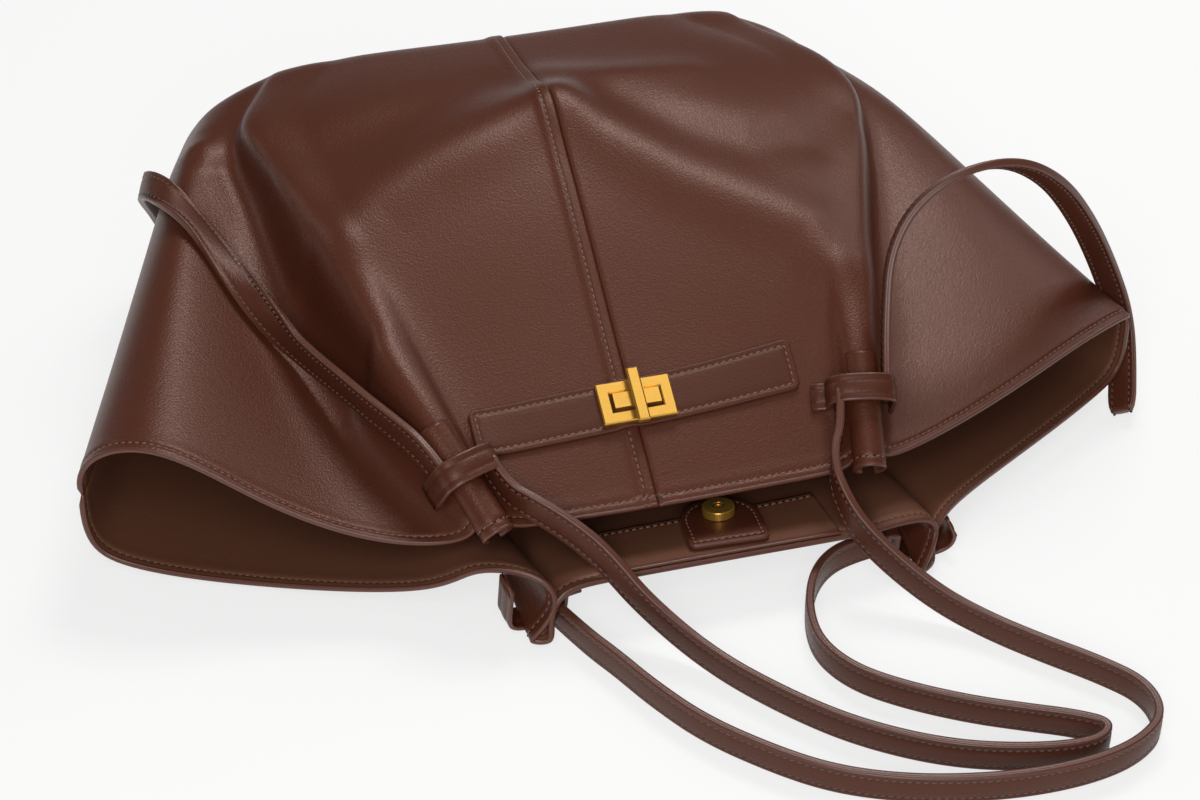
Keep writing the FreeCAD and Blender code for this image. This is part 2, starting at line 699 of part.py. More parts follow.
def corner(x, y, radius, turn_from, turn=-90):
    """Quarter arc round a centre from a direction in degrees, clockwise unless told: middle point and end."""
    middle, end = math.radians(turn_from + turn / 2), math.radians(turn_from + turn)
    return (
        V(x + radius * math.cos(middle), y + radius * math.sin(middle), 0),
        V(x + radius * math.cos(end), y + radius * math.sin(end), 0),
    )


# Snap patch, sewn inside the back, with a magnetic snap through it
PATCH_X = 28.5
PATCH_TURN = math.radians(4)
patch_v = rim_parameter(PATCH_X * wide)
patch_u = setback_parameter(patch_v, size("patch_inset") + size("patch_length") / 2)
patch_out = outward(back.outer, patch_u, patch_v, back.side)
patch_lift = size("leather") + 2 * gap + size("facing_thick")
patch_spot = back.outer.value(patch_u, patch_v) - patch_out * (patch_lift + gap)
patch_frame = frame(patch_spot, V(math.cos(PATCH_TURN), -math.sin(PATCH_TURN), 0), patch_out * -1)


def make_patch():
    """Straight sides and rim end, a round inner end, two small round corners at the rim."""
    half, reach = size("patch_width") / 2, size("patch_length") / 2
    small = size("patch_thick")
    body = new_body("snap_patch")
    outline = new_sketch(body, "snap_patch_outline")
    draw_outline(outline, (
        (V(-half, reach - half, 0),),
        (V(0, reach, 0), V(half, reach - half, 0)),
        (V(half, -reach + small, 0),),
        corner(half - small, -reach + small, small, 0),
        (V(-half + small, -reach, 0),),
        corner(-half + small, -reach + small, small, 270),
    ))
    pad(body, outline, "Sizes.patch_thick")
    hole = new_sketch(body, "snap_patch_bore")
    draw_circle(hole, "Sizes.stud_post")
    hole.AttachmentOffset = FreeCAD.Placement(V(0, snap_y, 0), FreeCAD.Rotation())
    pocket(body, hole, "Sizes.patch_thick")
    body.Placement = patch_frame


snap_y = size("patch_length") / 2 - size("patch_width") / 2 + size("snap_dia") / 4
make_patch()
snap_frame = patch_frame.multiply(FreeCAD.Placement(V(0, snap_y, size("patch_thick")), FreeCAD.Rotation()))


def make_socket():
    """Sheet brass cup turned over the magnet, with a raised eye in its well."""
    body = washer("snap_socket", "Sizes.snap_dia", None, "Sizes.snap_thick")
    room = new_sketch(body, "snap_socket_room")
    draw_circle(room, "Sizes.magnet_dia + 2 * Sizes.seam_gap")
    pocket(body, room, "Sizes.snap_thick - Sizes.snap_wall")
    well = new_sketch(body, "snap_socket_well")
    draw_circle(well, "Sizes.snap_eye")
    pocket(body, well, "Sizes.snap_thick")
    top = body.Tip
    rim = edges_where(top, lambda edge: topmost(top)(edge) and edge.BoundBox.XLength > size("snap_eye") + 1)
    dress(body, "Fillet", top, rim, "Radius", "Sizes.snap_wall")
    body.Placement = raised(snap_frame, gap)


make_socket()
magnet_thick = "Sizes.snap_thick - Sizes.snap_wall - 2 * Sizes.seam_gap"
snap_magnet = washer("snap_magnet", "Sizes.magnet_dia", "Sizes.snap_eye", magnet_thick)
snap_magnet.Placement = raised(snap_frame, gap)
snap_eyelet = washer("snap_eyelet", "Sizes.stud_post - 2 * Sizes.seam_gap", "Sizes.stud_post / 2",
                     "Sizes.snap_thick + Sizes.patch_thick - Sizes.snap_wall")
snap_eyelet.Placement = raised(snap_frame, -size("patch_thick"))

# Stud of the snap on the front facing, facing the socket
stud_x = PATCH_X * wide
stud_y = rim_spot.y + size("facing_depth") / 2 * abs(down_slope.y)
stud_spot, stud_out = front_at(stud_x, stud_y)
stud_lift = size("leather") + 2 * gap + size("facing_thick")
stud_frame = frame(stud_spot - stud_out * stud_lift, V(1, 0, 0), stud_out * -1)


def make_stud():
    """Flange with a post that enters the socket's well."""
    body = washer("snap_stud", "Sizes.snap_dia", None, "Sizes.stud_thick")
    post = new_sketch(body, "snap_stud_post", "Sizes.stud_thick")
    draw_circle(post, "Sizes.stud_post")
    risen = pad(body, post, "Sizes.snap_thick - 2 * Sizes.snap_wall")
    tip = edges_where(risen, topmost(risen))
    dress(body, "Fillet", risen, tip, "Radius", "Sizes.snap_wall")
    body.Placement = stud_frame


make_stud()


# Keepers: leather staples over the folds, with room for a strap on both sides
def panel_points(panel):
    """Points of a panel near its rim, close enough together to seat a keeper on."""
    stations = [0.75 + 0.25 * k / 60 for k in range(61)]
    columns = [k / 500.0 for k in range(501)]
    return [panel.outer.value(u, v) for u in stations for v in columns]


def make_keeper(label, panel, fold, setback, out, middle, slack, foot):
    """Staple over one fold; a foot, if it has one, lies on the side that faces the bag's middle."""
    rim_end, inner_end = fold(1), fold(INNER_SHARE)
    axis = (inner_end - rim_end).normalize()
    if out.cross(axis).dot(middle) < 0:
        axis = axis * -1
    across = out.cross(axis).normalize()
    rise = axis.cross(across)
    toward_rim = axis if axis.dot(rim_end - inner_end) > 0 else axis * -1
    origin = rim_end - toward_rim * setback
    place = frame(origin, across, axis)
    band, thick = size("keeper_band"), size("keeper_thick")
    local = [place.inverse().multVec(p) for p in panel_points(panel)]
    near = [q for q in local if abs(q.z) < band / 2 + 1]
    crest = max(q.y for q in near if abs(q.x) < KEEPER_LOOK)
    upper = [q.x for q in near if abs(q.x) < KEEPER_LOOK and q.y > crest - KEEPER_LOOK / 2]
    room = size("keeper_room")
    left, right = min(upper) - room, max(upper) + room
    foot_end = right + thick + foot

    def seat(x_from, x_to):
        """Height of the panel under a stretch of the keeper, or where the panel comes nearest to it."""
        away = [max(x_from - q.x, q.x - x_to, 0) for q in near]
        nearest = min(away) + 1
        return max(q.y for q, distance in zip(near, away) if distance < nearest) + gap

    low_left = seat(left - thick, left)
    low_right = seat(right, right + thick)
    low_foot = seat(foot_end - thick, foot_end)
    top = crest + slack
    inner = room / 2
    curve = inner + thick
    body = new_body(label)
    outline = new_sketch(body, label + "_outline")
    sewn_end = [(V(right + thick, low_right, 0),)]
    if foot:
        sewn_end = [
            (V(right + thick, low_right + thick, 0),),
            (V(foot_end, low_foot + thick, 0),),
            (V(foot_end, low_foot, 0),),
        ] + sewn_end
    draw_outline(outline, [
        (V(left - thick, top + thick - curve, 0),),
        corner(left + inner, top - inner, curve, 180),
        (V(right - inner, top + thick, 0),),
        corner(right - inner, top - inner, curve, 90),
    ] + sewn_end + [
        (V(right, low_right, 0),),
        (V(right, top - inner, 0),),
        corner(right - inner, top - inner, inner, 0, 90),
        (V(left + inner, top, 0),),
        corner(left + inner, top - inner, inner, 90, 90),
        (V(left, low_left, 0),),
        (V(left - thick, low_left, 0),),
    ])
    pad(body, outline, "Sizes.keeper_band")
    body.Placement = raised(place, -band / 2)


KEEPER_LOOK = 14.0


def front_fold(side):
    """Crest of a front fold, by its share of the way to the rim."""
    return lambda share: V(
        side * along(FOLD_X[side], share) * wide,
        base_y - share * size("bag_height"),
        along(CREST[side], share) * deep,
    )


def back_fold(side):
    """Keel of a back fold, by its share of the way to the rim."""
    return lambda share: V(
        along(BACK_FOLD_X[side], share) * wide,
        base_y - share * (size("bag_height") + size("back_reach") + FOLD_REACH * tall),
        along(BACK_KEEL, share) * deep,
    )


INNER_SHARE = 0.88
setback, foot, slack = size("keeper_setback"), size("keeper_foot"), size("front_slack")
to_left, to_right, down = V(-1, 0, 0), V(1, 0, 0), UP * -1
make_keeper("keeper_front_left", front_left, front_fold(-1), size("left_setback"), UP, to_right, slack, 0)
make_keeper("keeper_front_right", front_right, front_fold(1), setback, UP, to_left, slack, foot)
make_keeper("keeper_back_left", back, back_fold(-1), setback, down, to_right, gap, foot)
make_keeper("keeper_back_right", back, back_fold(1), setback, down, to_left, gap, foot)


# Straps: each free stretch is swept along straight runs and tangent arcs
def route_wire(points):
    """Wire through the points' runs, each turn an arc; gives the wire and its tightest radius."""
    corners = [V(*p) for p in points]
    pieces, tightest, here = [], 1e9, corners[0]
    for before, at, after in zip(corners, corners[1:], corners[2:]):
        run_in, run_out = at - before, after - at
        cut = 0.45 * min(run_in.Length, run_out.Length)
        turn = run_in.getAngle(run_out)
        into, out_of = V(run_in).normalize(), V(run_out).normalize()
        start, end = at - into * cut, at + out_of * cut
        pieces.append(Part.LineSegment(here, start).toShape())
        bulge = (out_of - into).normalize()
        radius = cut / math.tan(turn / 2)
        middle = at + bulge * (radius / math.cos(turn / 2) - radius)
        pieces.append(Part.Arc(start, middle, end).toShape())
        tightest = min(tightest, radius)
        here = end
    pieces.append(Part.LineSegment(here, corners[-1]).toShape())
    return Part.Wire(pieces), tightest


def add_strap(label, solid, wire, tightest):
    """A strap's document object; its length, tightest turn and filled share are printed."""
    filled = solid.Volume / (wire.Length * size("strap_width") * size("strap_thick"))
    print(label, "length", round(wire.Length), "tightest", round(tightest, 1), "filled", round(filled, 3))
    add_shape(label, solid)


def make_strap(label, points, wide_along, keep):
    """Flat strap along a route; its width lies along a direction, kept or let to turn."""
    wire, tightest = route_wire(points)
    tangent = (V(*points[1]) - V(*points[0])).normalize()
    if keep:
        across = V(wide_along)
        flat = across.cross(tangent).normalize()
    else:
        flat = V(wide_along).cross(tangent).normalize()
        across = tangent.cross(flat)
    half_wide, half_thick = across * (size("strap_width") / 2), flat * (size("strap_thick") / 2)
    start = V(*points[0])
    section = Part.makePolygon([
        start - half_wide - half_thick, start + half_wide - half_thick,
        start + half_wide + half_thick, start - half_wide + half_thick, start - half_wide - half_thick,
    ])
    sweep = Part.BRepOffsetAPI.MakePipeShell(wire)
    if keep:
        sweep.setBiNormalMode(V(wide_along))
    sweep.add(section)
    sweep.build()
    sweep.makeSolid()
    solid = sweep.shape()
    add_strap(label, solid, wire, tightest)


def make_leaning_strap(label, points, lean):
    """Flat strap whose face leans over as it goes: 90 degrees stands it on edge, 0 lays it flat."""
    wire, tightest = route_wire(points)
    count = LEANING_SECTIONS
    spots = wire.discretize(count)
    sections = []
    for k, spot in enumerate(spots):
        tangent = (spots[min(k + 1, count - 1)] - spots[max(k - 1, 0)]).normalize()
        level = tangent.cross(UP).normalize()
        rising = level.cross(tangent)
        angle = math.radians(along(lean, k / (count - 1.0)))
        across = (level * math.cos(angle) + rising * math.sin(angle)) * (size("strap_width") / 2)
        flat = (rising * math.cos(angle) - level * math.sin(angle)) * (size("strap_thick") / 2)
        sections.append(Part.makePolygon([
            spot - across - flat, spot + across - flat, spot + across + flat, spot - across + flat,
            spot - across - flat,
        ]))
    solid = Part.makeLoft(sections, True, False)
    add_strap(label, solid, wire, tightest)


HANDLE_LEFT = (
    (-76.1, -115.2, 67.7), (-71, -127.4, 58.9), (-60.5, -137, 55.5), (-47, -147, 48), (-34, -157, 37),
    (-20, -173, 20), (2, -202, 7.6), (26, -235, 7.6), (50, -260, 7.6), (82, -281, 7.6),
    (116, -294.3, 7.6), (146, -295.5, 7.6), (147, -271.5, 7.6), (122, -269.5, 7.6), (99, -258, 7.6),
    (76, -243, 7.6), (58, -227, 7.6), (49, -208, 7.6), (50, -189, 7.6), (57, -169, 7.6),
    (68, -155, 7.6), (82, -148.5, 8), (97, -147, 8.5),
)
HANDLE_RIGHT = (
    (86.1, -112.8, 71.2), (83, -127, 61.6), (76, -138.5, 56), (74, -150, 48.5), (79, -164, 36),
    (92, -178, 23), (109, -195, 12), (126, -212, 7.6), (143, -231, 7.6), (161, -249, 7.6),
    (175, -267, 7.6), (174, -287, 7.6), (158, -299, 7.6), (136, -304.5, 7.6), (109, -305, 7.6),
    (81, -301, 7.6), (53, -293, 7.6), (29, -281, 7.6), (9, -264, 7.6), (-13, -240, 7.6),
    (-28, -214, 7.6), (-38, -192, 7.6), (-47, -175, 7.6), (-55.3, -155.6, 8.4),
)
TAIL_LEFT = (
    (-95.6, -122.2, 63.4), (-102.2, -107.5, 71.8), (-111.5, -89, 73), (-120, -72, 73.5), (-128, -53, 73),
    (-136, -34, 72), (-144, -15, 72), (-153, 4, 77.2), (-161, 23, 83.6), (-167.5, 41, 89.2),
    (-175, 57, 96.6), (-183, 71, 101.6), (-190, 84, 102), (-194, 98, 95), (-193, 113, 82),
    (-189, 128, 66), (-184, 141, 48), (-180, 151, 30),
)
# Sections of the left tail; then share of its length, and the lean of its face in degrees
LEANING_SECTIONS = 36
LEFT_LEAN = (
    (0, 90), (0.33, 85), (0.41, 50), (0.48, 12), (0.54, -10), (0.6, -20),
    (0.65, -2), (0.7, 40), (0.77, 70), (0.86, 86), (1, 90),
)
TAIL_RIGHT = (
    (107.2, -118.3, 66.6), (110.6, -105.4, 77), (115, -90, 95), (120, -77, 117), (133, -69, 135),
    (154, -66, 147), (179, -65, 149), (204, -59, 131), (225, -51, 101), (244, -42, 65),
    (254, -47, 37), (251, -64, 17), (243, -84, 6),
)
make_strap("handle_strap_left", HANDLE_LEFT, UP, True)
make_strap("handle_strap_right", HANDLE_RIGHT, UP, True)
make_leaning_strap("strap_tail_left", TAIL_LEFT, LEFT_LEAN)
make_strap("strap_tail_right", TAIL_RIGHT, UP, False)

# Every piece is tested before any file is written
MODELLED = ("Part::Feature", "PartDesign::Body", "Part::Cylinder")
doc.recompute()
pieces = [thing for thing in doc.Objects if thing.TypeId in MODELLED]
for thing in doc.Objects:
    if "Invalid" in thing.State or "Error" in thing.State:
        raise RuntimeError("%s did not recompute" % thing.Label)
for thing in pieces:
    if thing.Shape.isNull() or not thing.Shape.isValid():
        raise RuntimeError("%s has no valid shape" % thing.Label)
os.makedirs("parts", exist_ok=True)
for thing in pieces:
    thing.Shape.exportStep("parts/%s.step" % thing.Label)
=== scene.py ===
import json
import math

import bmesh
import bpy
import numpy as np
from bpy.props import FloatProperty, FloatVectorProperty, PointerProperty
from mathutils import Matrix, Vector
from mathutils.bvhtree import BVHTree


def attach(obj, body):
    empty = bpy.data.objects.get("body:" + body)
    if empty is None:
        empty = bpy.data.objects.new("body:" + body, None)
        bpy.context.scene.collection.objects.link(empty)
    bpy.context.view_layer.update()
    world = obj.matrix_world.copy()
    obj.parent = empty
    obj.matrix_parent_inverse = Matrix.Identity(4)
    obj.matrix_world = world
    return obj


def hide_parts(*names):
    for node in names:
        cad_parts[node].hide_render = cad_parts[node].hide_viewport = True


bl_info = {
    "name": "Trapeze Bag",
    "version": (1, 0, 0),
    "blender": (4, 5, 0),
    "location": "View3D > Sidebar > Bag",
    "description": "Soft leather trapeze bag lying on its back, with two strap handles and a turn lock",
    "category": "Object",
}

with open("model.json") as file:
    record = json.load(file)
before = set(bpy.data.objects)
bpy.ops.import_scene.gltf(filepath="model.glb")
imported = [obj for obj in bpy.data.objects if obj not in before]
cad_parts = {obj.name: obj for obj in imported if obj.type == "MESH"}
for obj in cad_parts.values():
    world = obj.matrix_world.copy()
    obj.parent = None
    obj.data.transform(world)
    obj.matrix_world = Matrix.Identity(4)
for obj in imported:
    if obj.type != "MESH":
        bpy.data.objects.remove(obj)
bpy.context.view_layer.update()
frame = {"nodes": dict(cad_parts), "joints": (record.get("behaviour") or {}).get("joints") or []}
MM = 0.001
UP = np.array((0.0, 0.0, 1.0))


def linear(code):
    """Linear colour, with alpha, of an sRGB hex value."""
    parts = [int(code[k:k + 2], 16) / 255 for k in (1, 3, 5)]
    return tuple(p / 12.92 if p <= 0.04045 else ((p + 0.055) / 1.055) ** 2.4 for p in parts) + (1.0,)


# Lines plan of the bag, in millimetres. Each line runs from the base (0) to the rim (1).
# Heights of the front, from each side seam inwards to the centre seam; -1 is left, 1 is right
SEAM = {-1: ((0, 57), (1, 46)), 1: ((0, 57), (0.6, 53), (1, 49))}
CROWN = {
    -1: ((0, 93), (0.1, 93), (0.2, 97), (0.45, 98), (0.7, 93), (1, 89)),
    1: ((0, 84), (0.1, 82), (0.28, 88), (0.41, 86), (0.6, 82), (0.8, 70), (1, 54)),
}
WING = {
    -1: ((0, 102), (0.1, 100), (0.2, 102), (0.45, 92), (0.7, 75), (1, 56)),
    1: ((0, 96), (0.1, 92), (0.28, 93), (0.41, 93), (0.6, 84), (0.8, 67), (1, 51)),
}
SLOPE = {
    -1: ((0, 109), (0.1, 106), (0.2, 103), (0.4, 84), (0.6, 62), (0.8, 47), (1, 38)),
    1: ((0, 106), (0.1, 102), (0.28, 99), (0.4, 94), (0.6, 78), (0.8, 60), (1, 48)),
}
VALLEY = {
    -1: ((0, 114), (0.1, 109), (0.2, 103), (0.4, 84), (0.6, 60), (0.8, 47), (1, 40)),
    1: ((0, 113), (0.1, 105), (0.2, 103), (0.4, 92), (0.6, 73), (0.8, 57), (1, 46)),
}
CREST = {
    -1: ((0, 114), (0.1, 113), (0.2, 118), (0.4, 119), (0.6, 107), (0.8, 89), (0.9, 79), (1, 57)),
    1: ((0, 114), (0.1, 112), (0.2, 116), (0.4, 117), (0.6, 107), (0.8, 91), (0.9, 80), (1, 57.5)),
}
FOOT = {
    -1: ((0, 116), (0.2, 122), (0.4, 124), (0.5, 120), (0.6, 107), (0.8, 76), (0.9, 61), (1, 46)),
    1: ((0, 116), (0.2, 122), (0.4, 121), (0.6, 113), (0.72, 104), (0.82, 83), (0.9, 61), (1, 46)),
}
QUARTER = {
    -1: (
        (0, 115), (0.07, 121), (0.2, 128), (0.32, 132), (0.46, 130),
        (0.6, 108), (0.75, 82), (0.9, 61), (1, 46),
    ),
    1: (
        (0, 115), (0.07, 121), (0.2, 127), (0.4, 128), (0.54, 123),
        (0.66, 111), (0.78, 86), (0.9, 62), (1, 46),
    ),
}
CENTRE = ((0, 114), (0.05, 119), (0.2, 127), (0.37, 142), (0.57, 115), (0.77, 80), (0.91, 60), (1, 45))
# Drawn folds of the front: place across, half width, and how far they are rolled into a tube
FOLD_X = {
    -1: ((0, 98), (0.1, 116), (0.2, 136), (0.4, 126), (0.6, 115.5), (0.8, 103), (0.93, 89), (1, 80)),
    1: (
        (0, 96), (0.1, 107), (0.2, 134), (0.3, 148), (0.4, 142),
        (0.6, 121), (0.8, 106), (0.93, 97), (1, 93),
    ),
}
FOLD_HALF = ((0, 14), (0.3, 12), (0.6, 11), (0.85, 8), (1, 5.4))
TUBE = ((0, 0.3), (0.6, 0.4), (0.85, 0.8), (1, 1))
# Heights of the back, and how far its folds are drawn in
BACK_WING = {-1: ((0, 1), (0.5, 1), (1, 3)), 1: ((0, 1), (0.5, 1), (0.8, 4), (1, 11))}
BACK_MIDDLE = ((0, 1), (0.3, 1.3), (0.5, 2), (0.75, 9), (1, 24))
BACK_KEEL = ((0, 1), (0.3, 1.3), (0.6, 2.8), (0.8, 7.8), (0.93, 8.8), (1, 2.4))
BACK_DRAWN = ((0, 0), (0.5, 0), (0.75, 0.4), (0.9, 0.85), (1, 1))
BACK_FOLD_X = {-1: ((0, -80), (0.5, -90), (1, -64)), 1: ((0, 80), (0.5, 110), (1, 115))}
HUMPS = {-1: 33, 1: 24}
# Where the rows of control points lie; the base edge has two, the first of them set in
STATIONS = (0, 0, 0.08, 0.2, 0.36, 0.54, 0.72, 0.88, 1)
# How the rim curves from a fold back to the tip of its wing
FRONT_BEND, BACK_BEND = 1.3, 0.9
# Where the inner end of a keeper crosses its fold
INNER_SHARE = 0.88
# Main sizes
BASE_Y, BAG_HEIGHT, BACK_REACH = 165.0, 302.0, 20.8
BASE_WIDTH, MOUTH_WIDTH, BASE_ROUND = 334.0, 500.0, 24.0
TIP_SHORT, FOLD_REACH, SEAM_X, SEAM_GAP = 72.0, 11.0, -4.0, 0.3

# Routes of the straps, in millimetres
HANDLE_LEFT = (
    (-76.1, -115.2, 67.7), (-71, -127.4, 58.9), (-60.5, -137, 55.5), (-47, -147, 48), (-34, -157, 37),
    (-20, -173, 20), (2, -202, 7.6), (26, -235, 7.6), (50, -260, 7.6), (82, -281, 7.6),
    (116, -292, 7.6), (142, -294.5, 7.6), (151, -286, 7.6), (138, -277, 7.6), (120, -268.5, 7.6),
    (99, -258, 7.6), (76, -243, 7.6), (58, -227, 7.6), (49, -208, 7.6), (50, -189, 7.6),
    (57, -169, 7.6), (68, -155, 7.6), (82, -148.5, 8), (97, -147, 8.5),
)
HANDLE_RIGHT = (
    (86.1, -112.8, 71.2), (83, -127, 61.6), (76, -138.5, 56), (74, -150, 48.5), (79, -164, 36),
    (92, -178, 23), (109, -195, 12), (126, -212, 7.6), (143, -231, 7.6), (161, -249, 7.6),
    (175, -267, 7.6), (174, -287, 7.6), (158, -299, 7.6), (136, -304.5, 7.6), (109, -305, 7.6),
    (81, -301, 7.6), (53, -293, 7.6), (29, -281, 7.6), (9, -264, 7.6), (-13, -240, 7.6),
    (-28, -214, 7.6), (-38, -192, 7.6), (-47, -175, 7.6), (-55.3, -155.6, 8.4),
)
TAIL_LEFT = (
    (-95.6, -122.2, 63.4), (-102.2, -107.5, 71.8), (-111.5, -89, 73), (-120, -72, 73.5), (-128, -53, 73),
    (-136, -34, 72), (-144, -15, 72), (-153, 4, 77.2), (-161, 23, 83.6), (-167.5, 41, 89.2),
    (-175, 57, 96.6), (-183, 71, 101.6), (-190, 84, 102), (-194, 98, 95), (-193, 113, 82),
    (-189, 128, 66), (-184, 141, 48), (-180, 151, 30),
)
TAIL_RIGHT = (
    (107.2, -118.3, 66.6), (110.6, -105.4, 77), (115, -90, 95), (120, -77, 117), (133, -69, 135),
    (154, -66, 147), (179, -65, 149), (204, -59, 131), (225, -51, 101), (244, -42, 65),
    (254, -47, 37), (251, -64, 17), (243, -84, 6),
)
# Lean of a strap's face along its length: 90 degrees stands it on edge, 0 lays it flat
ON_EDGE = ((0, 90), (1, 90))
LEFT_LEAN = (
    (0, 90), (0.33, 85), (0.41, 50), (0.48, 12), (0.54, -10), (0.6, -20),
    (0.65, -2), (0.7, 40), (0.77, 70), (0.86, 86), (1, 90),
)


class BagSizes(bpy.types.PropertyGroup):
    """Sizes that a maker would change."""

    leather: FloatProperty(
        name="Leather", description="Wall of the panels", default=0.0024, unit="LENGTH")
    strap_width: FloatProperty(
        name="Strap Width", description="Width of handles and tails", default=0.014, unit="LENGTH")
    strap_thick: FloatProperty(
        name="Strap Thickness", description="Two layers of strap leather", default=0.0036, unit="LENGTH")
    keeper_thick: FloatProperty(
        name="Keeper Thickness", description="Leather of the keepers", default=0.002, unit="LENGTH")
    stitch_pitch: FloatProperty(
        name="Stitch Pitch", description="From one stitch to the next", default=0.0033, unit="LENGTH")
    stitch_length: FloatProperty(
        name="Stitch Length", description="Thread seen between two holes", default=0.0023, unit="LENGTH")
    thread: FloatProperty(
        name="Thread", description="Thickness of the sewing thread", default=0.0009, unit="LENGTH")
    rim_margin: FloatProperty(
        name="Rim Margin", description="Stitch line from the rim", default=0.004, unit="LENGTH")
    trim_margin: FloatProperty(
        name="Trim Margin", description="Stitch line from the edge of straps, band and patch",
        default=0.0025, unit="LENGTH")


class BagColours(bpy.types.PropertyGroup):
    """Colours that a maker would change."""

    leather: FloatVectorProperty(
        name="Leather", description="Dyed outer leather",
        default=linear("#50281a"), size=4, subtype="COLOR")
    # The inner leather's own brown, lightened as painted light: it stands in for light reaching the inner
    # faces inside the mouth
    inside: FloatVectorProperty(
        name="Inside", description="Inner face of the panels",
        default=linear("#65402f"), size=4, subtype="COLOR")
    edge: FloatVectorProperty(
        name="Edge Paint", description="Painted cut edges",
        default=linear("#5b3325"), size=4, subtype="COLOR")
    thread: FloatVectorProperty(
        name="Thread", description="Waxed thread",
        default=linear("#7c513d"), size=4, subtype="COLOR")
    brass: FloatVectorProperty(
        name="Brass", description="Satin plated brass",
        default=linear("#dcaa4c"), size=4, subtype="COLOR")


def along(line, share):
    """Height of a line at a share of the way, on a smooth curve through its points."""
    count = len(line)
    at = 0
    while at < count - 2 and share > line[at + 1][0]:
        at += 1
    (x0, y0), (x1, y1) = line[at], line[at + 1]

    def lean(k):
        before, after = line[max(k - 1, 0)], line[min(k + 1, count - 1)]
        return (after[1] - before[1]) / (after[0] - before[0])

    span = x1 - x0
    t = (share - x0) / span
    rise = (2 * t ** 3 - 3 * t ** 2 + 1) * y0 + (3 * t ** 2 - 2 * t ** 3) * y1
    return rise + span * ((t ** 3 - 2 * t ** 2 + t) * lean(at) + (t ** 3 - t ** 2) * lean(at + 1))


def unit(vector):
    """The same direction, one long; works on whole grids too."""
    return vector / np.maximum(np.linalg.norm(vector, axis=-1, keepdims=True), 1e-9)


def row_ends(share):
    """Where the rim row and the side seams lie at a station: y of the front, y of the tips, half width."""
    tip = BASE_Y - share * (BAG_HEIGHT - TIP_SHORT)
    half = (BASE_WIDTH + share * (MOUTH_WIDTH - BASE_WIDTH)) / 2
    return BASE_Y - share * BAG_HEIGHT, tip, half


def front_row(index, side):
    """Control points of one front half at one station, from the side seam to the centre seam."""
    share = STATIONS[index]
    inset = 0.0 if index else BASE_ROUND
    rim_y, tip_y, half = row_ends(share)
    half -= inset
    seam = along(SEAM[side], share)
    crown, valley, crest, foot = (
        along(line, share) - inset for line in (CROWN[side], VALLEY[side], CREST[side], FOOT[side]))
    wing_z, slope_z, quarter_z, centre_z = (
        along(line, share) - inset for line in (WING[side], SLOPE[side], QUARTER[side], CENTRE))
    fold_x, fold, tube = along(FOLD_X[side], share), along(FOLD_HALF, share), along(TUBE, share)
    wing = half - fold_x - 1.3 * fold
    row = (
        (half, seam + SEAM_GAP / 2),
        (half + 2, seam + 0.45 * (crown - seam)),
        (half - 0.16 * wing - 3, crown),
        (half - 0.46 * wing, wing_z),
        (half - 0.75 * wing, slope_z),
        (fold_x + (1.3 - 0.3 * tube) * fold, valley),
        (fold_x + (1.1 + 0.3 * tube) * fold, crest),
        (fold_x - 0.1 * fold, crest + 0.2 * fold),
        (fold_x - (1.0 + 0.2 * tube) * fold, foot + tube * (crest - foot)),
        (fold_x - (1.6 - 0.2 * tube) * fold, foot),
        (0.62 * fold_x, quarter_z),
        (0.25 * fold_x, centre_z),
        (side * (SEAM_X + side * SEAM_GAP / 2), centre_z),
    )
    bends = [min(1.0, max(0.0, (x - fold_x) / (half - fold_x))) for x, z in row]
    return [(side * x, rim_y + (tip_y - rim_y) * bend ** FRONT_BEND, z) for (x, z), bend in zip(row, bends)]


def back_fold_row(side, share, half, hump, before, after, keel):
    """Control points of one pinched back fold: a hump, then a narrow loop that hangs to the floor."""
    drawn = along(BACK_DRAWN, share)
    shape = (
        (-38, -38, 0, before + 0.25 * drawn * (hump - before)),
        (-30, -27, 0, before + drawn * (hump - before)),
        (-22, 2, 0, before + drawn * (hump - before)),
        (-14, 8, 0.4, before + drawn * (0.6 * hump - before)),
        (-6, -3, 0.8, before + drawn * (0.3 * hump - before)),
        (3, -9, 1, keel),
        (12, 5, 1, keel),
        (20, 4, 0.7, after + 0.6 * drawn * (keel - after)),
        (29, 9, 0.2, after),
        (38, 26, 0, after),
    )
    x, rim_x = along(BACK_FOLD_X[side], share), along(BACK_FOLD_X[side], 1)
    narrowed = half / (MOUTH_WIDTH / 2)
    return [
        ((1 - drawn) * (rim_x + flat) * narrowed + drawn * (x + pinched), z, push * share * FOLD_REACH)
        for flat, pinched, push, z in shape
    ]


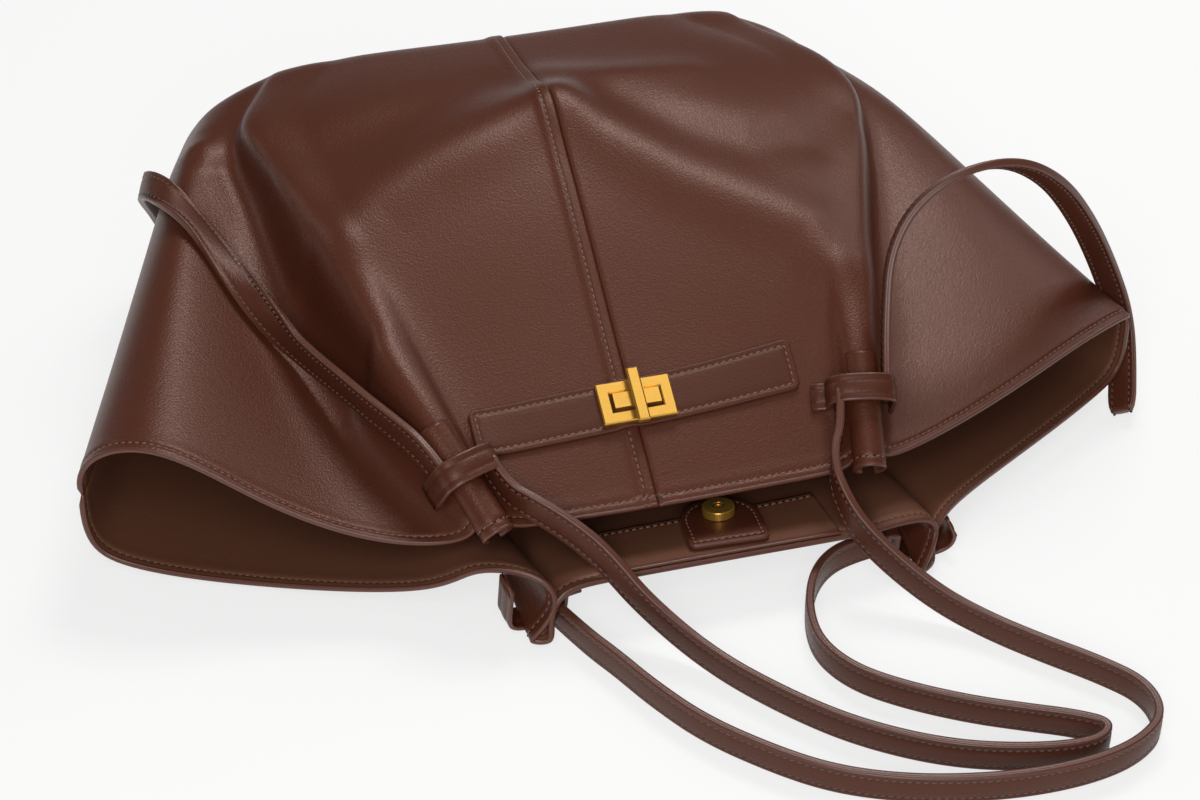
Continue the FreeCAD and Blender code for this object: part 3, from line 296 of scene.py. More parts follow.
def back_row(index):
    """Control points of the back at one station, from the left side seam to the right one."""
    share = STATIONS[index]
    inset = 0.0 if index else BASE_ROUND
    rim_y, tip_y, half = row_ends(share)
    rim_y -= share * BACK_REACH
    half -= inset
    middle, keel, wing_left, wing_right = (
        along(line, share) + inset for line in (BACK_MIDDLE, BACK_KEEL, BACK_WING[-1], BACK_WING[1]))
    beside_left = wing_left + 0.2 * (middle - wing_left)
    beside_right = wing_right + 0.4 * (middle - wing_right)
    left = back_fold_row(-1, share, half, HUMPS[-1] + inset, beside_left, middle, keel)
    right = back_fold_row(1, share, half, HUMPS[1] + inset, middle, beside_right, keel)
    ends = {}
    for side, level in ((-1, wing_left), (1, wing_right)):
        seam = along(SEAM[side], share) - SEAM_GAP / 2
        ends[side] = [
            (side * half, seam, 0), (side * (half + 2), 0.4 * seam, 0), (side * (half - 8), level, 0)]
    row = ends[-1] + [((ends[-1][-1][0] + left[0][0]) / 2, wing_left, 0)] + left
    row += [((left[-1][0] + right[0][0]) / 2, middle, 0)] + right
    row += [((ends[1][-1][0] + right[-1][0]) / 2, wing_right, 0)] + ends[1][::-1]
    points = []
    for x, z, push in row:
        fold_x = right[4][0] if x > 0 else left[4][0]
        bend = min(1.0, max(0.0, (x - fold_x) / (math.copysign(half, x) - fold_x)))
        points.append((x, rim_y + (tip_y - rim_y) * bend ** BACK_BEND - push, z))
    return points


BACK_NET = [back_row(k) for k in range(len(STATIONS))]


def front_crest(side, share):
    """Top of a front fold at a share of the way."""
    spot_y = BASE_Y - share * BAG_HEIGHT
    return np.array((side * along(FOLD_X[side], share), spot_y, along(CREST[side], share)))


def back_keel(side, share):
    """Bottom of a back fold at a share of the way."""
    spot_y = BASE_Y - share * (BAG_HEIGHT + BACK_REACH + FOLD_REACH)
    return np.array((along(BACK_FOLD_X[side], share), spot_y, along(BACK_KEEL, share)))


def weights(count, places):
    """Share of each control point of a clamped cubic line, at places from 0 to 1 along it."""
    knots = np.concatenate(([0.0] * 3, np.linspace(0, 1, count - 2), [1.0] * 3))
    at = np.clip(np.asarray(places, float), 0, 1 - 1e-9)[:, None]
    share = ((knots[:-1] <= at) & (at < knots[1:])).astype(float)
    for order in (1, 2, 3):
        low, high = knots[:-order - 1], knots[order + 1:]
        rise, fall = knots[order:-1] - low, high - knots[1:-order]
        rising = (at - low) / np.where(rise > 0, rise, np.inf)
        falling = (high - at) / np.where(fall > 0, fall, np.inf)
        share = rising * share[:, :-1] + falling * share[:, 1:]
    return share


def panel_grid(net, across, setbacks, rows):
    """Points of a panel in rows from rim to base: first at set distances from the rim, then evenly."""
    net = np.array(net)
    fine = np.linspace(1, 0, 500)
    lines = np.einsum("ui,ijk,vj->uvk", weights(len(net), fine), net, weights(len(net[0]), across))
    steps = np.linalg.norm(np.diff(lines, axis=0), axis=2)
    run = np.concatenate((np.zeros((1, len(across))), np.cumsum(steps, axis=0)))
    grid = []
    for column in range(len(across)):
        rest = np.linspace(setbacks[-1], run[-1, column], rows + 1)[1:]
        wanted = np.concatenate((setbacks, rest))
        grid.append([np.interp(wanted, run[:, column], lines[:, column, k]) for k in range(3)])
    return np.array(grid).transpose(2, 0, 1)


def grid_normals(grid, out):
    """Unit normals of a grid, turned so that most of them point out."""
    normals = unit(np.cross(np.gradient(grid, axis=0), np.gradient(grid, axis=1)))
    return normals if (normals @ np.array(out)).sum() > 0 else -normals


def grid_faces(rows, columns, closed):
    """Quads between the rows of a grid; a closed one joins its last row to its first."""
    index = np.arange(rows * columns).reshape(rows, columns)
    upper, lower = (index, np.roll(index, -1, axis=0)) if closed else (index[:-1], index[1:])
    quads = np.stack((upper[:, :-1], upper[:, 1:], lower[:, 1:], lower[:, :-1]), axis=-1)
    return quads.reshape(-1, 4).tolist()


finishes = {}
# Finishes of a panel (outer face, inner face lightened with painted light, cut edge), of a trim (face,
# edge) and of a row of stitches (thread, painted shade of its needle holes)
SHELL, TRIM, SEWING = ("leather", "inside", "edge"), ("strap", "edge"), ("thread", "hole")


def add_piece(name, points, faces, looks, paints, stands_for=(), closed=True):
    """A piece from points in millimetres; paints says which of its looks each face has."""
    mesh = bpy.data.meshes.new(name)
    mesh.from_pydata((np.asarray(points) * MM).tolist(), [], faces)
    for look in looks:
        mesh.materials.append(finishes[look])
    mesh.polygons.foreach_set("material_index", np.asarray(paints, np.int32))
    if closed:
        work = bmesh.new()
        work.from_mesh(mesh)
        bmesh.ops.recalc_face_normals(work, faces=work.faces)
        work.to_mesh(mesh)
        work.free()
    mesh.shade_smooth()
    piece = bpy.data.objects.new(name, mesh)
    bpy.context.collection.objects.link(piece)
    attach(piece, "bag")
    if stands_for:
        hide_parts(*stands_for)
    return piece


# Section of a cut edge: degrees round its bulge, and how far it stands out
EDGE_TURNS, EDGE_BULGE = (75, 40, 0, -40, -75), 0.9


def add_shell(name, grid, normals, wall, reliefs, stands_for, looks=SHELL, edge_rows=2):
    """Leather with a wall under a grid: outer face, rounded cut edge at the first row, inner face."""
    outer = grid + normals * reliefs[0][..., None]
    inner = grid - normals * (wall + reliefs[1][..., None])
    ahead = unit(outer[0] - outer[2])
    middle, half = (outer[0] + inner[0]) / 2, (outer[0] - inner[0]) / 2
    turns = np.radians(EDGE_TURNS)[:, None, None]
    edge = middle + half * np.sin(turns) + ahead * (EDGE_BULGE * np.cos(turns))
    rows = np.concatenate((outer[::-1], edge, inner))
    count, columns = rows.shape[:2]
    first, last = len(outer) - 1, len(outer) + len(edge) - 1
    painted = np.zeros((count, columns - 1), int)
    painted[last:] = 1
    painted[first - edge_rows:last + 1 + edge_rows] = 2
    faces, paints = grid_faces(count, columns, True), painted.ravel().tolist()
    for column in (0, columns - 1):
        ring = np.arange(count) * columns + column
        for k in range(count // 2 - 1):
            faces.append(ring[[k, k + 1, count - 2 - k, count - 1 - k]].tolist())
            paints.append(0)
        faces.append(ring[count // 2 - 1:count // 2 + 2].tolist())
        paints.append(2)
    add_piece(name, rows.reshape(-1, 3), faces, looks, paints, stands_for)


def strap_frames(line, lean):
    """Directions across a strap and out of its face; one without a lean turns as it bends."""
    tangent = unit(np.gradient(line, axis=0))
    if lean:
        run = np.concatenate(([0.0], np.cumsum(np.linalg.norm(np.diff(line, axis=0), axis=1))))
        angle = np.radians([along(lean, share) for share in run / run[-1]])[:, None]
        level = unit(np.cross(tangent, UP))
        rising = np.cross(level, tangent)
        across = level * np.cos(angle) + rising * np.sin(angle)
    else:
        across = [unit(np.cross(unit(np.cross(tangent[0], UP)), tangent[0]))]
        for step in tangent[1:]:
            across.append(unit(across[-1] - step * (across[-1] @ step)))
        across = np.array(across)
    return across, np.cross(tangent, across)


def ribbon_section(width, thick, margin):
    """Half outline of a sewn strap, from one edge over the face to the other: across, up, painted."""
    half, flat = width / 2, thick / 2
    sewn = half - margin
    face = [
        (-half, 0.05, 1), (-half - 0.12, 0.25 * flat, 1), (-half - 0.05, 0.65 * flat, 1),
        (-half + 0.35, flat, 1), (-half + 0.8, flat + 0.03, 0), (-sewn - 0.65, flat, 0),
        (-sewn, flat - 0.22, 0), (-sewn + 0.65, flat, 0), (-sewn / 2, flat + 0.16, 0), (0, flat + 0.2, 0),
    ]
    return face + [(-a, b, painted) for a, b, painted in face[-2::-1]]


# Share of a strap's width at its last three points, where its corners are rounded
ROUND_END = (0.72, 0.9, 0.97)


def add_ribbon(name, line, across, face, section, stands_for, round_ends=()):
    """Flat strap along a line, closed at both ends, its corners rounded at the ends named."""
    outline = [(a, b) for a, b, painted in section] + [(-a, -b) for a, b, painted in section]
    painted = [k for a, b, k in section]
    joints = [here or after for here, after in zip(painted, painted[1:])] + [1]
    count, size = len(line), len(outline)
    narrow = np.ones(count)
    for end in round_ends:
        for k, share in enumerate(ROUND_END):
            narrow[k if end == 0 else count - 1 - k] = share
    a, b = np.array(outline).T[:, None, :, None]
    rows = line[:, None, :] + across[:, None, :] * a * narrow[:, None, None] + face[:, None, :] * b
    faces = grid_faces(size, count, True)
    paints = np.repeat(joints + joints, count - 1).tolist()
    for k in (0, count - 1):
        faces.append([r * count + k for r in range(size)])
        paints.append(1)
    return add_piece(name, rows.transpose(1, 0, 2).reshape(-1, 3), faces, TRIM, paints, stands_for)


def smooth_line(name, route):
    """Points along the smooth spline that has a route's points as its control points, in millimetres."""
    curve = bpy.data.curves.new(name, "CURVE")
    curve.dimensions = "3D"
    curve.resolution_u = 14
    spline = curve.splines.new("NURBS")
    spline.points.add(len(route) - 1)
    for point, spot in zip(spline.points, route):
        point.co = (*(value * MM for value in spot), 1)
    spline.order_u = 3
    spline.use_endpoint_u = True
    holder = bpy.data.objects.new(name, curve)
    bpy.context.collection.objects.link(holder)
    mesh = bpy.data.meshes.new_from_object(holder)
    line = np.array([vertex.co for vertex in mesh.vertices]) / MM
    bpy.data.objects.remove(holder)
    bpy.data.curves.remove(curve)
    bpy.data.meshes.remove(mesh)
    return line


def spaced(line, pitch, *others):
    """A line's points taken again at an even pitch, and whatever goes with them."""
    run = np.concatenate(([0.0], np.cumsum(np.linalg.norm(np.diff(line, axis=0), axis=1))))
    count = max(2, round(run[-1] / pitch))
    at = (np.arange(count) + 0.5) * run[-1] / count
    return [
        np.stack([np.interp(at, run, values[:, k]) for k in range(3)], axis=1)
        for values in (line, *others)
    ]


def stitch_shape():
    """One stitch, modelled once: a thread one long and one thick that dips at both ends."""
    bpy.ops.object.select_all(action="DESELECT")
    bpy.ops.mesh.primitive_uv_sphere_add(segments=6, ring_count=5, radius=0.5, rotation=(0, math.pi / 2, 0))
    model = bpy.context.object
    bpy.ops.object.transform_apply(location=False, rotation=True, scale=False)
    points = np.array([vertex.co for vertex in model.data.vertices])
    faces = [list(polygon.vertices) for polygon in model.data.polygons]
    mesh = model.data
    bpy.data.objects.remove(model)
    bpy.data.meshes.remove(mesh)
    points[:, 2] += 0.35 * (0.25 - points[:, 0] ** 2)
    return points, faces


STITCH_SLANT = math.radians(9)
# Needle holes, drawn as flat near-black discs of painted shade: corners, radius as a share of the thread,
# height over the leather
HOLE_SIDES, HOLE_SHARE, HOLE_LIFT = 6, 0.78, 0.06


def sew(name, line, normals, sizes, looks=SEWING):
    """A row of slanting stitches along a line on a face, each with a flat dark disc of painted shade at its
    end for its needle hole.
    """
    pitch, length, thick = (value / MM for value in (sizes.stitch_pitch, sizes.stitch_length, sizes.thread))
    spots, outs = spaced(line, pitch, normals)
    outs = unit(outs)
    ahead = unit(np.gradient(spots, axis=0))
    beside = unit(np.cross(outs, ahead))
    ahead = np.cross(beside, outs)
    slanted = ahead * math.cos(STITCH_SLANT) + beside * math.sin(STITCH_SLANT)
    square = np.cross(outs, slanted)
    shape, shape_faces = stitch_shape()
    turns = np.arange(HOLE_SIDES) * 2 * math.pi / HOLE_SIDES
    x = np.concatenate((shape[:, 0] * length, 0.5 * pitch + HOLE_SHARE * thick * np.cos(turns)))
    y = np.concatenate((shape[:, 1] * thick, HOLE_SHARE * thick * np.sin(turns)))
    z = np.concatenate(((shape[:, 2] - 0.1) * thick, np.full(HOLE_SIDES, HOLE_LIFT)))
    points = spots[:, None]
    for way, reach in ((slanted, x), (square, y), (outs, z)):
        points = points + way[:, None] * reach[:, None]
    faces, paints = [], []
    for k in range(len(spots)):
        first = k * len(x)
        faces += [[first + corner for corner in face] for face in shape_faces]
        # The disc of painted shade that marks the needle hole
        faces.append([first + len(shape) + corner for corner in range(HOLE_SIDES)])
        paints += [0] * len(shape_faces) + [1]
    return add_piece(name, points.reshape(-1, 3), faces, looks, paints, closed=False)


def add_node(tree, kind, links, **settings):
    """A node with its settings, its sockets linked or set; gives the node."""
    node = tree.nodes.new(kind)
    for name, value in settings.items():
        setattr(node, name, value)
    for socket, value in links.items():
        if isinstance(value, bpy.types.NodeSocket):
            tree.links.new(value, node.inputs[socket])
        else:
            node.inputs[socket].default_value = value
    return node


def new_material(name):
    """An empty material and its node tree."""
    material = bpy.data.materials.new(name)
    material.use_nodes = True
    material.node_tree.nodes.clear()
    return material, material.node_tree


def per_metre(size_mm):
    """Scale of a pattern whose marks are this many millimetres apart."""
    return 1 / (size_mm * MM)


def tinted(colour, factor):
    """A lighter or darker shade of a colour."""
    return tuple(min(1.0, part * factor) for part in colour[:3]) + (1.0,)


WARM_SHEEN = linear("#ffdfd2")


def leather_material(name, colour, roughness, grain, mottle):
    """Smooth dyed calf leather: satin sheen with a warm tint, pebbled grain, faint mottling."""
    material, tree = new_material(name)
    spot = add_node(tree, "ShaderNodeTexCoord", {}).outputs["Object"]
    # The grain is drawn at about a millimetre, coarser than calf has, so that it shows
    pebbles = add_node(
        tree, "ShaderNodeTexVoronoi", {"Vector": spot, "Scale": per_metre(0.8)}, feature="SMOOTH_F1")
    pores = add_node(tree, "ShaderNodeTexNoise", {"Vector": spot, "Scale": per_metre(1.2), "Detail": 3.0})
    clouds = add_node(tree, "ShaderNodeTexNoise", {"Vector": spot, "Scale": per_metre(60), "Detail": 4.0})
    height = add_node(
        tree, "ShaderNodeMath", {0: pebbles.outputs["Distance"], 1: pores.outputs["Fac"]}, operation="ADD")
    bump = add_node(
        tree, "ShaderNodeBump", {"Height": height.outputs[0], "Strength": grain, "Distance": 0.0003})
    dye = add_node(
        tree, "ShaderNodeMix",
        {"Factor": clouds.outputs["Fac"], "A": tinted(colour, 1 - mottle), "B": tinted(colour, 1 + mottle)},
        data_type="RGBA")
    shine = add_node(
        tree, "ShaderNodeMapRange",
        {"Value": pores.outputs["Fac"], "From Min": 0.3, "From Max": 0.7,
         "To Min": roughness - 0.05, "To Max": roughness + 0.05})
    shader = add_node(
        tree, "ShaderNodeBsdfPrincipled",
        {"Base Color": dye.outputs["Result"], "Roughness": shine.outputs["Result"], "IOR": 1.5,
         "Specular IOR Level": 0.4, "Specular Tint": WARM_SHEEN, "Normal": bump.outputs["Normal"]})
    add_node(tree, "ShaderNodeOutputMaterial", {"Surface": shader.outputs["BSDF"]})
    return material


def edge_material(name, colour):
    """Edge paint on cut leather: two coats, rounded and a little glossy, with faint brush waves."""
    material, tree = new_material(name)
    spot = add_node(tree, "ShaderNodeTexCoord", {}).outputs["Object"]
    waves = add_node(tree, "ShaderNodeTexNoise", {"Vector": spot, "Scale": per_metre(2.5), "Detail": 2.0})
    bump = add_node(
        tree, "ShaderNodeBump", {"Height": waves.outputs["Fac"], "Strength": 0.25, "Distance": 0.0003})
    shader = add_node(
        tree, "ShaderNodeBsdfPrincipled",
        {"Base Color": tuple(colour), "Roughness": 0.38, "IOR": 1.5, "Normal": bump.outputs["Normal"]})
    add_node(tree, "ShaderNodeOutputMaterial", {"Surface": shader.outputs["BSDF"]})
    return material


def thread_material(name, colour):
    """Waxed polyester thread: soft sheen, with the lay of its twisted strands."""
    material, tree = new_material(name)
    spot = add_node(tree, "ShaderNodeTexCoord", {}).outputs["Object"]
    # The strands come out about a millimetre apart, coarser than real ones, so that they show
    strands = add_node(
        tree, "ShaderNodeTexWave", {"Vector": spot, "Scale": per_metre(3.0), "Distortion": 1.5},
        bands_direction="DIAGONAL")
    bump = add_node(
        tree, "ShaderNodeBump", {"Height": strands.outputs["Fac"], "Strength": 0.3, "Distance": 0.0002})
    shader = add_node(
        tree, "ShaderNodeBsdfPrincipled",
        {"Base Color": tuple(colour), "Roughness": 0.5, "IOR": 1.5, "Sheen Weight": 0.2,
         "Normal": bump.outputs["Normal"]})
    add_node(tree, "ShaderNodeOutputMaterial", {"Surface": shader.outputs["BSDF"]})
    return material


def metal_material(name, colour, roughness):
    """Plated metal: satin lustre, with fine drawn lines and a slightly uneven polish."""
    material, tree = new_material(name)
    spot = add_node(tree, "ShaderNodeTexCoord", {}).outputs["Object"]
    stretched = add_node(tree, "ShaderNodeMapping", {"Vector": spot, "Scale": (0.08, 1.0, 1.0)})
    lines = add_node(
        tree, "ShaderNodeTexNoise",
        {"Vector": stretched.outputs["Vector"], "Scale": per_metre(0.35), "Detail": 3.0})
    bump = add_node(
        tree, "ShaderNodeBump", {"Height": lines.outputs["Fac"], "Strength": 0.03, "Distance": 0.0001})
    polish = add_node(
        tree, "ShaderNodeMapRange",
        {"Value": lines.outputs["Fac"], "From Min": 0.3, "From Max": 0.7,
         "To Min": roughness - 0.02, "To Max": roughness + 0.02})
    shader = add_node(
        tree, "ShaderNodeBsdfPrincipled",
        {"Base Color": tuple(colour), "Metallic": 0.8, "Roughness": polish.outputs["Result"],
         "Normal": bump.outputs["Normal"]})
    add_node(tree, "ShaderNodeOutputMaterial", {"Surface": shader.outputs["BSDF"]})
    return material


def mix_finishes(colours):
    """All finishes of the bag, made once."""
    finishes.update(
        leather=leather_material("smooth calf leather", colours.leather, 0.4, 0.4, 0.06),
        # Inner leather, drawn lighter than the outer as painted light inside the mouth
        inside=leather_material("inner calf leather with painted light", colours.inside, 0.52, 0.3, 0.08),
        strap=leather_material("strap calf leather", tinted(colours.leather, 0.86), 0.42, 0.26, 0.05),
        edge=edge_material("edge paint", colours.edge),
        thread=thread_material("waxed thread", colours.thread),
        strap_thread=thread_material("waxed strap thread", tinted(colours.thread, 0.55)),
        # Near-black painted shade for the needle holes, the shade that would fall inside each hole
        hole=edge_material("needle hole", linear("#1a0d08")),
        brass=metal_material("satin plated brass", colours.brass, 0.24),
        steel=metal_material("zinc plated steel", linear("#b9bbbd"), 0.34),
        magnet=metal_material("nickel plated magnet", linear("#a9a6a0"), 0.3),
        board=leather_material("pressed grey board", linear("#8b857b"), 0.8, 0.4, 0.1),
    )


# Distances of a panel's rows from the rim, in millimetres: close together at edge paint and stitches
RIM_ROWS = np.array((
    0, 0.3, 0.6, 0.9, 1.4, 2.2, 2.9, 3.3, 3.65, 4.0, 4.35, 4.7, 5.1, 6.0, 7.5, 9.5, 12, 15, 18, 22))
STITCH_ROW = 9
# Rows from there to the base, and points across the back
FRONT_ROWS, BACK_ROWS, BACK_COLUMNS = 120, 80, 330
# Side seams: width and depth of their groove
SIDE_GROOVE = (1.6, 1.3)
# Centre seam: width, height and softness of its lap, place of its stitches
LAP_WIDTH, LAP_HEIGHT, LAP_SOFT, SEAM_STITCH = 8.0, 0.9, 0.8, 5.0
panels = {}


def sunk(distance, width, depth):
    """A groove of some width and depth where a distance is nought."""
    return -depth * np.exp(-(distance / width) ** 2)


def rim_relief(setback, margin):
    """Height of the face near a rim: the bead of edge paint, the sunk stitch line, the puff behind it."""
    bead = 0.14 * np.exp(-(setback / 0.45) ** 2)
    groove = sunk(setback - margin, 0.55, 0.45)
    puff = 0.22 * np.exp(-((setback - margin - 2.6) / 1.8) ** 2)
    puff += 0.12 * np.exp(-((setback - 1.9) / 0.9) ** 2)
    return bead + groove + puff


def run_from(grid, axis):
    """Distance of each point of a grid from its first row or column."""
    steps = np.linalg.norm(np.diff(grid, axis=axis), axis=2)
    zero = np.zeros_like(np.take(steps, [0], axis=axis))
    return np.concatenate((zero, np.cumsum(steps, axis=axis)), axis=axis)


# Soft folds of the front, from above: points along the fold, height (a hollow below nought), half width
SOFT_FOLDS = (
    (((0, 55), (-35, 41), (-71, 31), (-98, 19), (-112, 6)), 4.0, 17),
    (((0, 55), (22, 28), (49, 2), (76, -17), (98, -33), (104, -52)), 4.0, 16),
    (((-135, 74), (-112, 64), (-85, 67), (-56, 76), (-24, 88)), -2.8, 18),
    (((30, 54), (56, 32), (84, 18), (116, 22), (140, 44)), -2.8, 15),
    (((3, 90), (30, 79), (71, 78)), 1.5, 13),
    (((-155, 95), (-143, 54), (-130, 2), (-119, -46)), -4.2, 10),
    (((-163, 112), (-151, 69), (-139, 20)), 2.6, 9),
)


def far_from_line(spots, line):
    """Distance, seen from above, of each spot from a line of straight runs."""
    far = np.full(spots.shape[:-1], np.inf)
    for start, end in zip(np.array(line[:-1], float), np.array(line[1:], float)):
        run = end - start
        share = np.clip((spots - start) @ run / (run @ run), 0, 1)
        far = np.minimum(far, np.linalg.norm(spots - start - share[..., None] * run, axis=-1))
    return far


def softened(grid, normals):
    """A front grid with the soft folds of its leather."""
    height = np.zeros(grid.shape[:2])
    for line, rise, half in SOFT_FOLDS:
        height += rise * np.exp(-(far_from_line(grid[..., :2], line) / half) ** 2)
    return grid + normals * height[..., None]


# Rolled ends of the front folds: radius, reach past the rim, half their turn in degrees, rows, columns
TUBE_RADIUS, TUBE_REACH, TUBE_OPEN, TUBE_ROWS, TUBE_COLUMNS = 7.6, 9.0, 150, 24, 60
# How far a tube's top stands over its fold at the inner end and at the rim
TUBE_PROUD = (0.5, 3)


def make_tube(side, sizes):
    """The end of a front fold, sewn into a tube that stands out under its keeper."""
    high, low = front_crest(side, INNER_SHARE), front_crest(side, 1)
    axis = unit(low - high)
    across = unit(np.cross(axis, UP))
    rise = np.cross(across, axis)
    start = high - rise * (TUBE_RADIUS - TUBE_PROUD[0])
    end = low + axis * TUBE_REACH - rise * (TUBE_RADIUS - TUBE_PROUD[1])
    length = np.linalg.norm(end - start)
    setbacks = np.concatenate((RIM_ROWS[:-1], np.linspace(RIM_ROWS[-1], length, TUBE_ROWS)))
    turns = np.radians(np.linspace(-TUBE_OPEN, TUBE_OPEN, TUBE_COLUMNS))
    normals = np.sin(turns)[:, None] * across + np.cos(turns)[:, None] * rise
    middle = end + (start - end) * (setbacks / length)[:, None]
    grid = middle[:, None] + TUBE_RADIUS * normals
    normals = np.broadcast_to(normals, grid.shape)
    relief = np.repeat(rim_relief(setbacks, sizes.rim_margin / MM)[:, None], len(turns), axis=1)
    name = "fold_left" if side < 0 else "fold_right"
    add_shell("leather_" + name, grid, normals, sizes.leather / MM, (relief, 0 * relief), [])
    line = grid[STITCH_ROW] + normals[STITCH_ROW] * relief[STITCH_ROW][:, None]
    sew("stitches_" + name, line, normals[STITCH_ROW], sizes)


def make_front(side, sizes):
    """One half of the front, its grid kept for what is sewn on it."""
    net = [front_row(k, side) for k in range(len(STATIONS))]
    # Closer together beside the centre seam
    across = np.concatenate((np.linspace(0, 0.983, 190), np.linspace(0.985, 1, 20)))
    grid = panel_grid(net, across, RIM_ROWS, FRONT_ROWS)
    grid = softened(grid, grid_normals(grid, UP))
    normals = grid_normals(grid, UP)
    from_seam = run_from(grid[:, ::-1], 1)[:, ::-1]
    rim = rim_relief(run_from(grid, 0), sizes.rim_margin / MM)
    relief = rim + sunk(run_from(grid, 1), *SIDE_GROOVE)
    if side < 0:
        relief += LAP_HEIGHT / (1 + np.exp((from_seam - LAP_WIDTH) / LAP_SOFT))
        relief += sunk(from_seam - SEAM_STITCH, 0.6, 0.3) + sunk(from_seam, 0.5, 0.9)
    else:
        relief += sunk(from_seam, 1.2, 0.6)
    name = "front_panel_left" if side < 0 else "front_panel_right"
    panels[name] = (grid + normals * relief[..., None], normals, from_seam)
    add_shell("leather_" + name, grid, normals, sizes.leather / MM, (relief, rim), [name])


def make_back(sizes):
    """The back in one piece, with its two pinched folds."""
    grid = panel_grid(BACK_NET, np.linspace(0, 1, BACK_COLUMNS), RIM_ROWS, BACK_ROWS)
    normals = grid_normals(grid, -UP)
    rim = rim_relief(run_from(grid, 0), sizes.rim_margin / MM)
    from_left, from_right = run_from(grid, 1), run_from(grid[:, ::-1], 1)[:, ::-1]
    relief = rim + sunk(from_left, *SIDE_GROOVE) + sunk(from_right, *SIDE_GROOVE)
    wall = sizes.leather / MM
    panels["back_panel"] = (grid + normals * relief[..., None], normals, None)
    panels["back_inside"] = (grid - normals * (wall + rim[..., None]), -normals, None)
    add_shell("leather_back_panel", grid, normals, wall, (relief, rim), ["back_panel"])


def sew_panels(sizes):
    """Stitch lines along the rims and down the left of the centre seam."""
    for name in ("front_panel_left", "front_panel_right", "back_panel", "back_inside"):
        grid, normals, from_seam = panels[name]
        sew("stitches_rim_" + name, grid[STITCH_ROW, 1:-1], normals[STITCH_ROW, 1:-1], sizes)
    grid, normals, from_seam = panels["front_panel_left"]
    line, outs = [], []
    for row in range(len(RIM_ROWS) - 6, len(grid) - 1):
        reach = from_seam[row, ::-1]
        line.append([np.interp(SEAM_STITCH, reach, grid[row, ::-1, k]) for k in range(3)])
        outs.append([np.interp(SEAM_STITCH, reach, normals[row, ::-1, k]) for k in range(3)])
    sew("stitches_centre_seam", np.array(line), np.array(outs), sizes)


def front_tree():
    """Search tree over the outer faces of both front halves, in millimetres."""
    points, faces = [], []
    for name in ("front_panel_left", "front_panel_right"):
        grid = panels[name][0]
        first = len(points)
        points += grid.reshape(-1, 3).tolist()
        faces += [[first + corner for corner in face] for face in grid_faces(*grid.shape[:2], False)]
    return BVHTree.FromPolygons(points, faces)


def dropped(tree, x, y):
    """Point and outward normal of the front under a place seen from above."""
    spot, normal, face, far = tree.ray_cast(Vector((x, y, 400)), Vector((0, 0, -1)))
    if spot is None:
        raise RuntimeError("no leather under %.1f, %.1f" % (x, y))
    normal = normal if normal.z > 0 else -normal
    return np.array(spot), np.array(normal)


# Corners of a plate from the lower right: side across, side up, degrees at which the round starts
CORNERS = ((1, -1, -90), (1, 1, 0), (-1, 1, 90), (-1, -1, 180))
CORNER_STEPS, LEAST_ROUND = 7, 0.02


def plate_loop(half_x, half_y, rounds, inset, straight):
    """Points round a plate with four round corners, from the lower right, set in by a distance."""
    arcs = []
    for (side, level, turn), radius in zip(CORNERS, rounds):
        arc, slip = max(radius - inset, LEAST_ROUND), max(inset - radius, 0.0)
        x, y = side * (half_x - radius - slip), level * (half_y - radius - slip)
        angles = np.radians(turn + np.linspace(0, 90, CORNER_STEPS))
        arcs.append([(x + arc * math.cos(angle), y + arc * math.sin(angle)) for angle in angles])
    loop = []
    for k, arc in enumerate(arcs):
        (x, y), (next_x, next_y) = arc[-1], arcs[(k + 1) % 4][0]
        loop += arc
        for share in np.linspace(0, 1, straight[k] + 2)[1:-1]:
            loop.append((x + (next_x - x) * share, y + (next_y - y) * share))
    return loop


def trim_profile(thick, margin, depth):
    """Section of a sewn plate, from underside round the edge to its middle: set in, height, painted."""
    return [
        (1.2, 0.0, 1), (0.2, 0.05, 1), (-0.25, 0.3 * thick, 1), (-0.25, 0.65 * thick, 1),
        (0.1, thick, 1), (0.55, thick + 0.05, 0), (margin - 0.7, thick + 0.02, 0),
        (margin, thick - 0.3, 0), (margin + 0.7, thick, 0), (margin + 2.0, thick + 0.12, 0),
        (0.5 * depth + 0.5 * margin, thick + 0.15, 0), (depth - 0.3, thick + 0.15, 0),
    ]


def strip_faces(ring, steps):
    """Faces across the last ring of a long plate: one at each end, a strip between its long sides."""
    count = len(ring)
    top = count // 2 - steps - 1
    faces = [[ring[-1], *ring[:top + 2]], ring[top + steps:count - steps + 1]]
    for step in range(1, steps):
        faces.append([ring[-step], ring[top + step], ring[top + step + 1], ring[-step - 1]])
    return faces


def add_plate(
        node, half_x, half_y, rounds, straight, thick, margin, place, sizes,
        looks=TRIM):
    """Sewn leather plate, laid on a surface by a function of its own x, y and height."""
    profile = trim_profile(thick, margin, min(half_x, half_y))
    rows = []
    for inset, height, painted in profile:
        loop = plate_loop(half_x, half_y, rounds, inset, straight)
        placed = [place(x, y, height) for x, y in loop]
        rows.append([spot for spot, normal in placed])
        if inset == margin:
            stitch_line = np.array(rows[-1] + rows[-1][:1])
            stitch_normals = np.array([normal for spot, normal in placed + placed[:1]])
    rows = np.array(rows)
    count = rows.shape[1]
    index = np.arange(len(rows) * count).reshape(len(rows), count)
    after = np.roll(index, -1, axis=1)
    faces = np.stack((index[:-1], after[:-1], after[1:], index[1:]), axis=-1).reshape(-1, 4).tolist()
    paints = np.repeat([painted for inset, height, painted in profile[1:]], count).tolist()
    under, over = index[0].tolist(), index[-1].tolist()
    caps = [under] + (strip_faces(over, straight[1]) if straight[1] == straight[3] else [over])
    faces += caps
    paints += [0] * len(caps)
    add_piece("leather_" + node, rows.reshape(-1, 3), faces, looks, paints, [node])
    sew("stitches_" + node, stitch_line, stitch_normals, sizes)


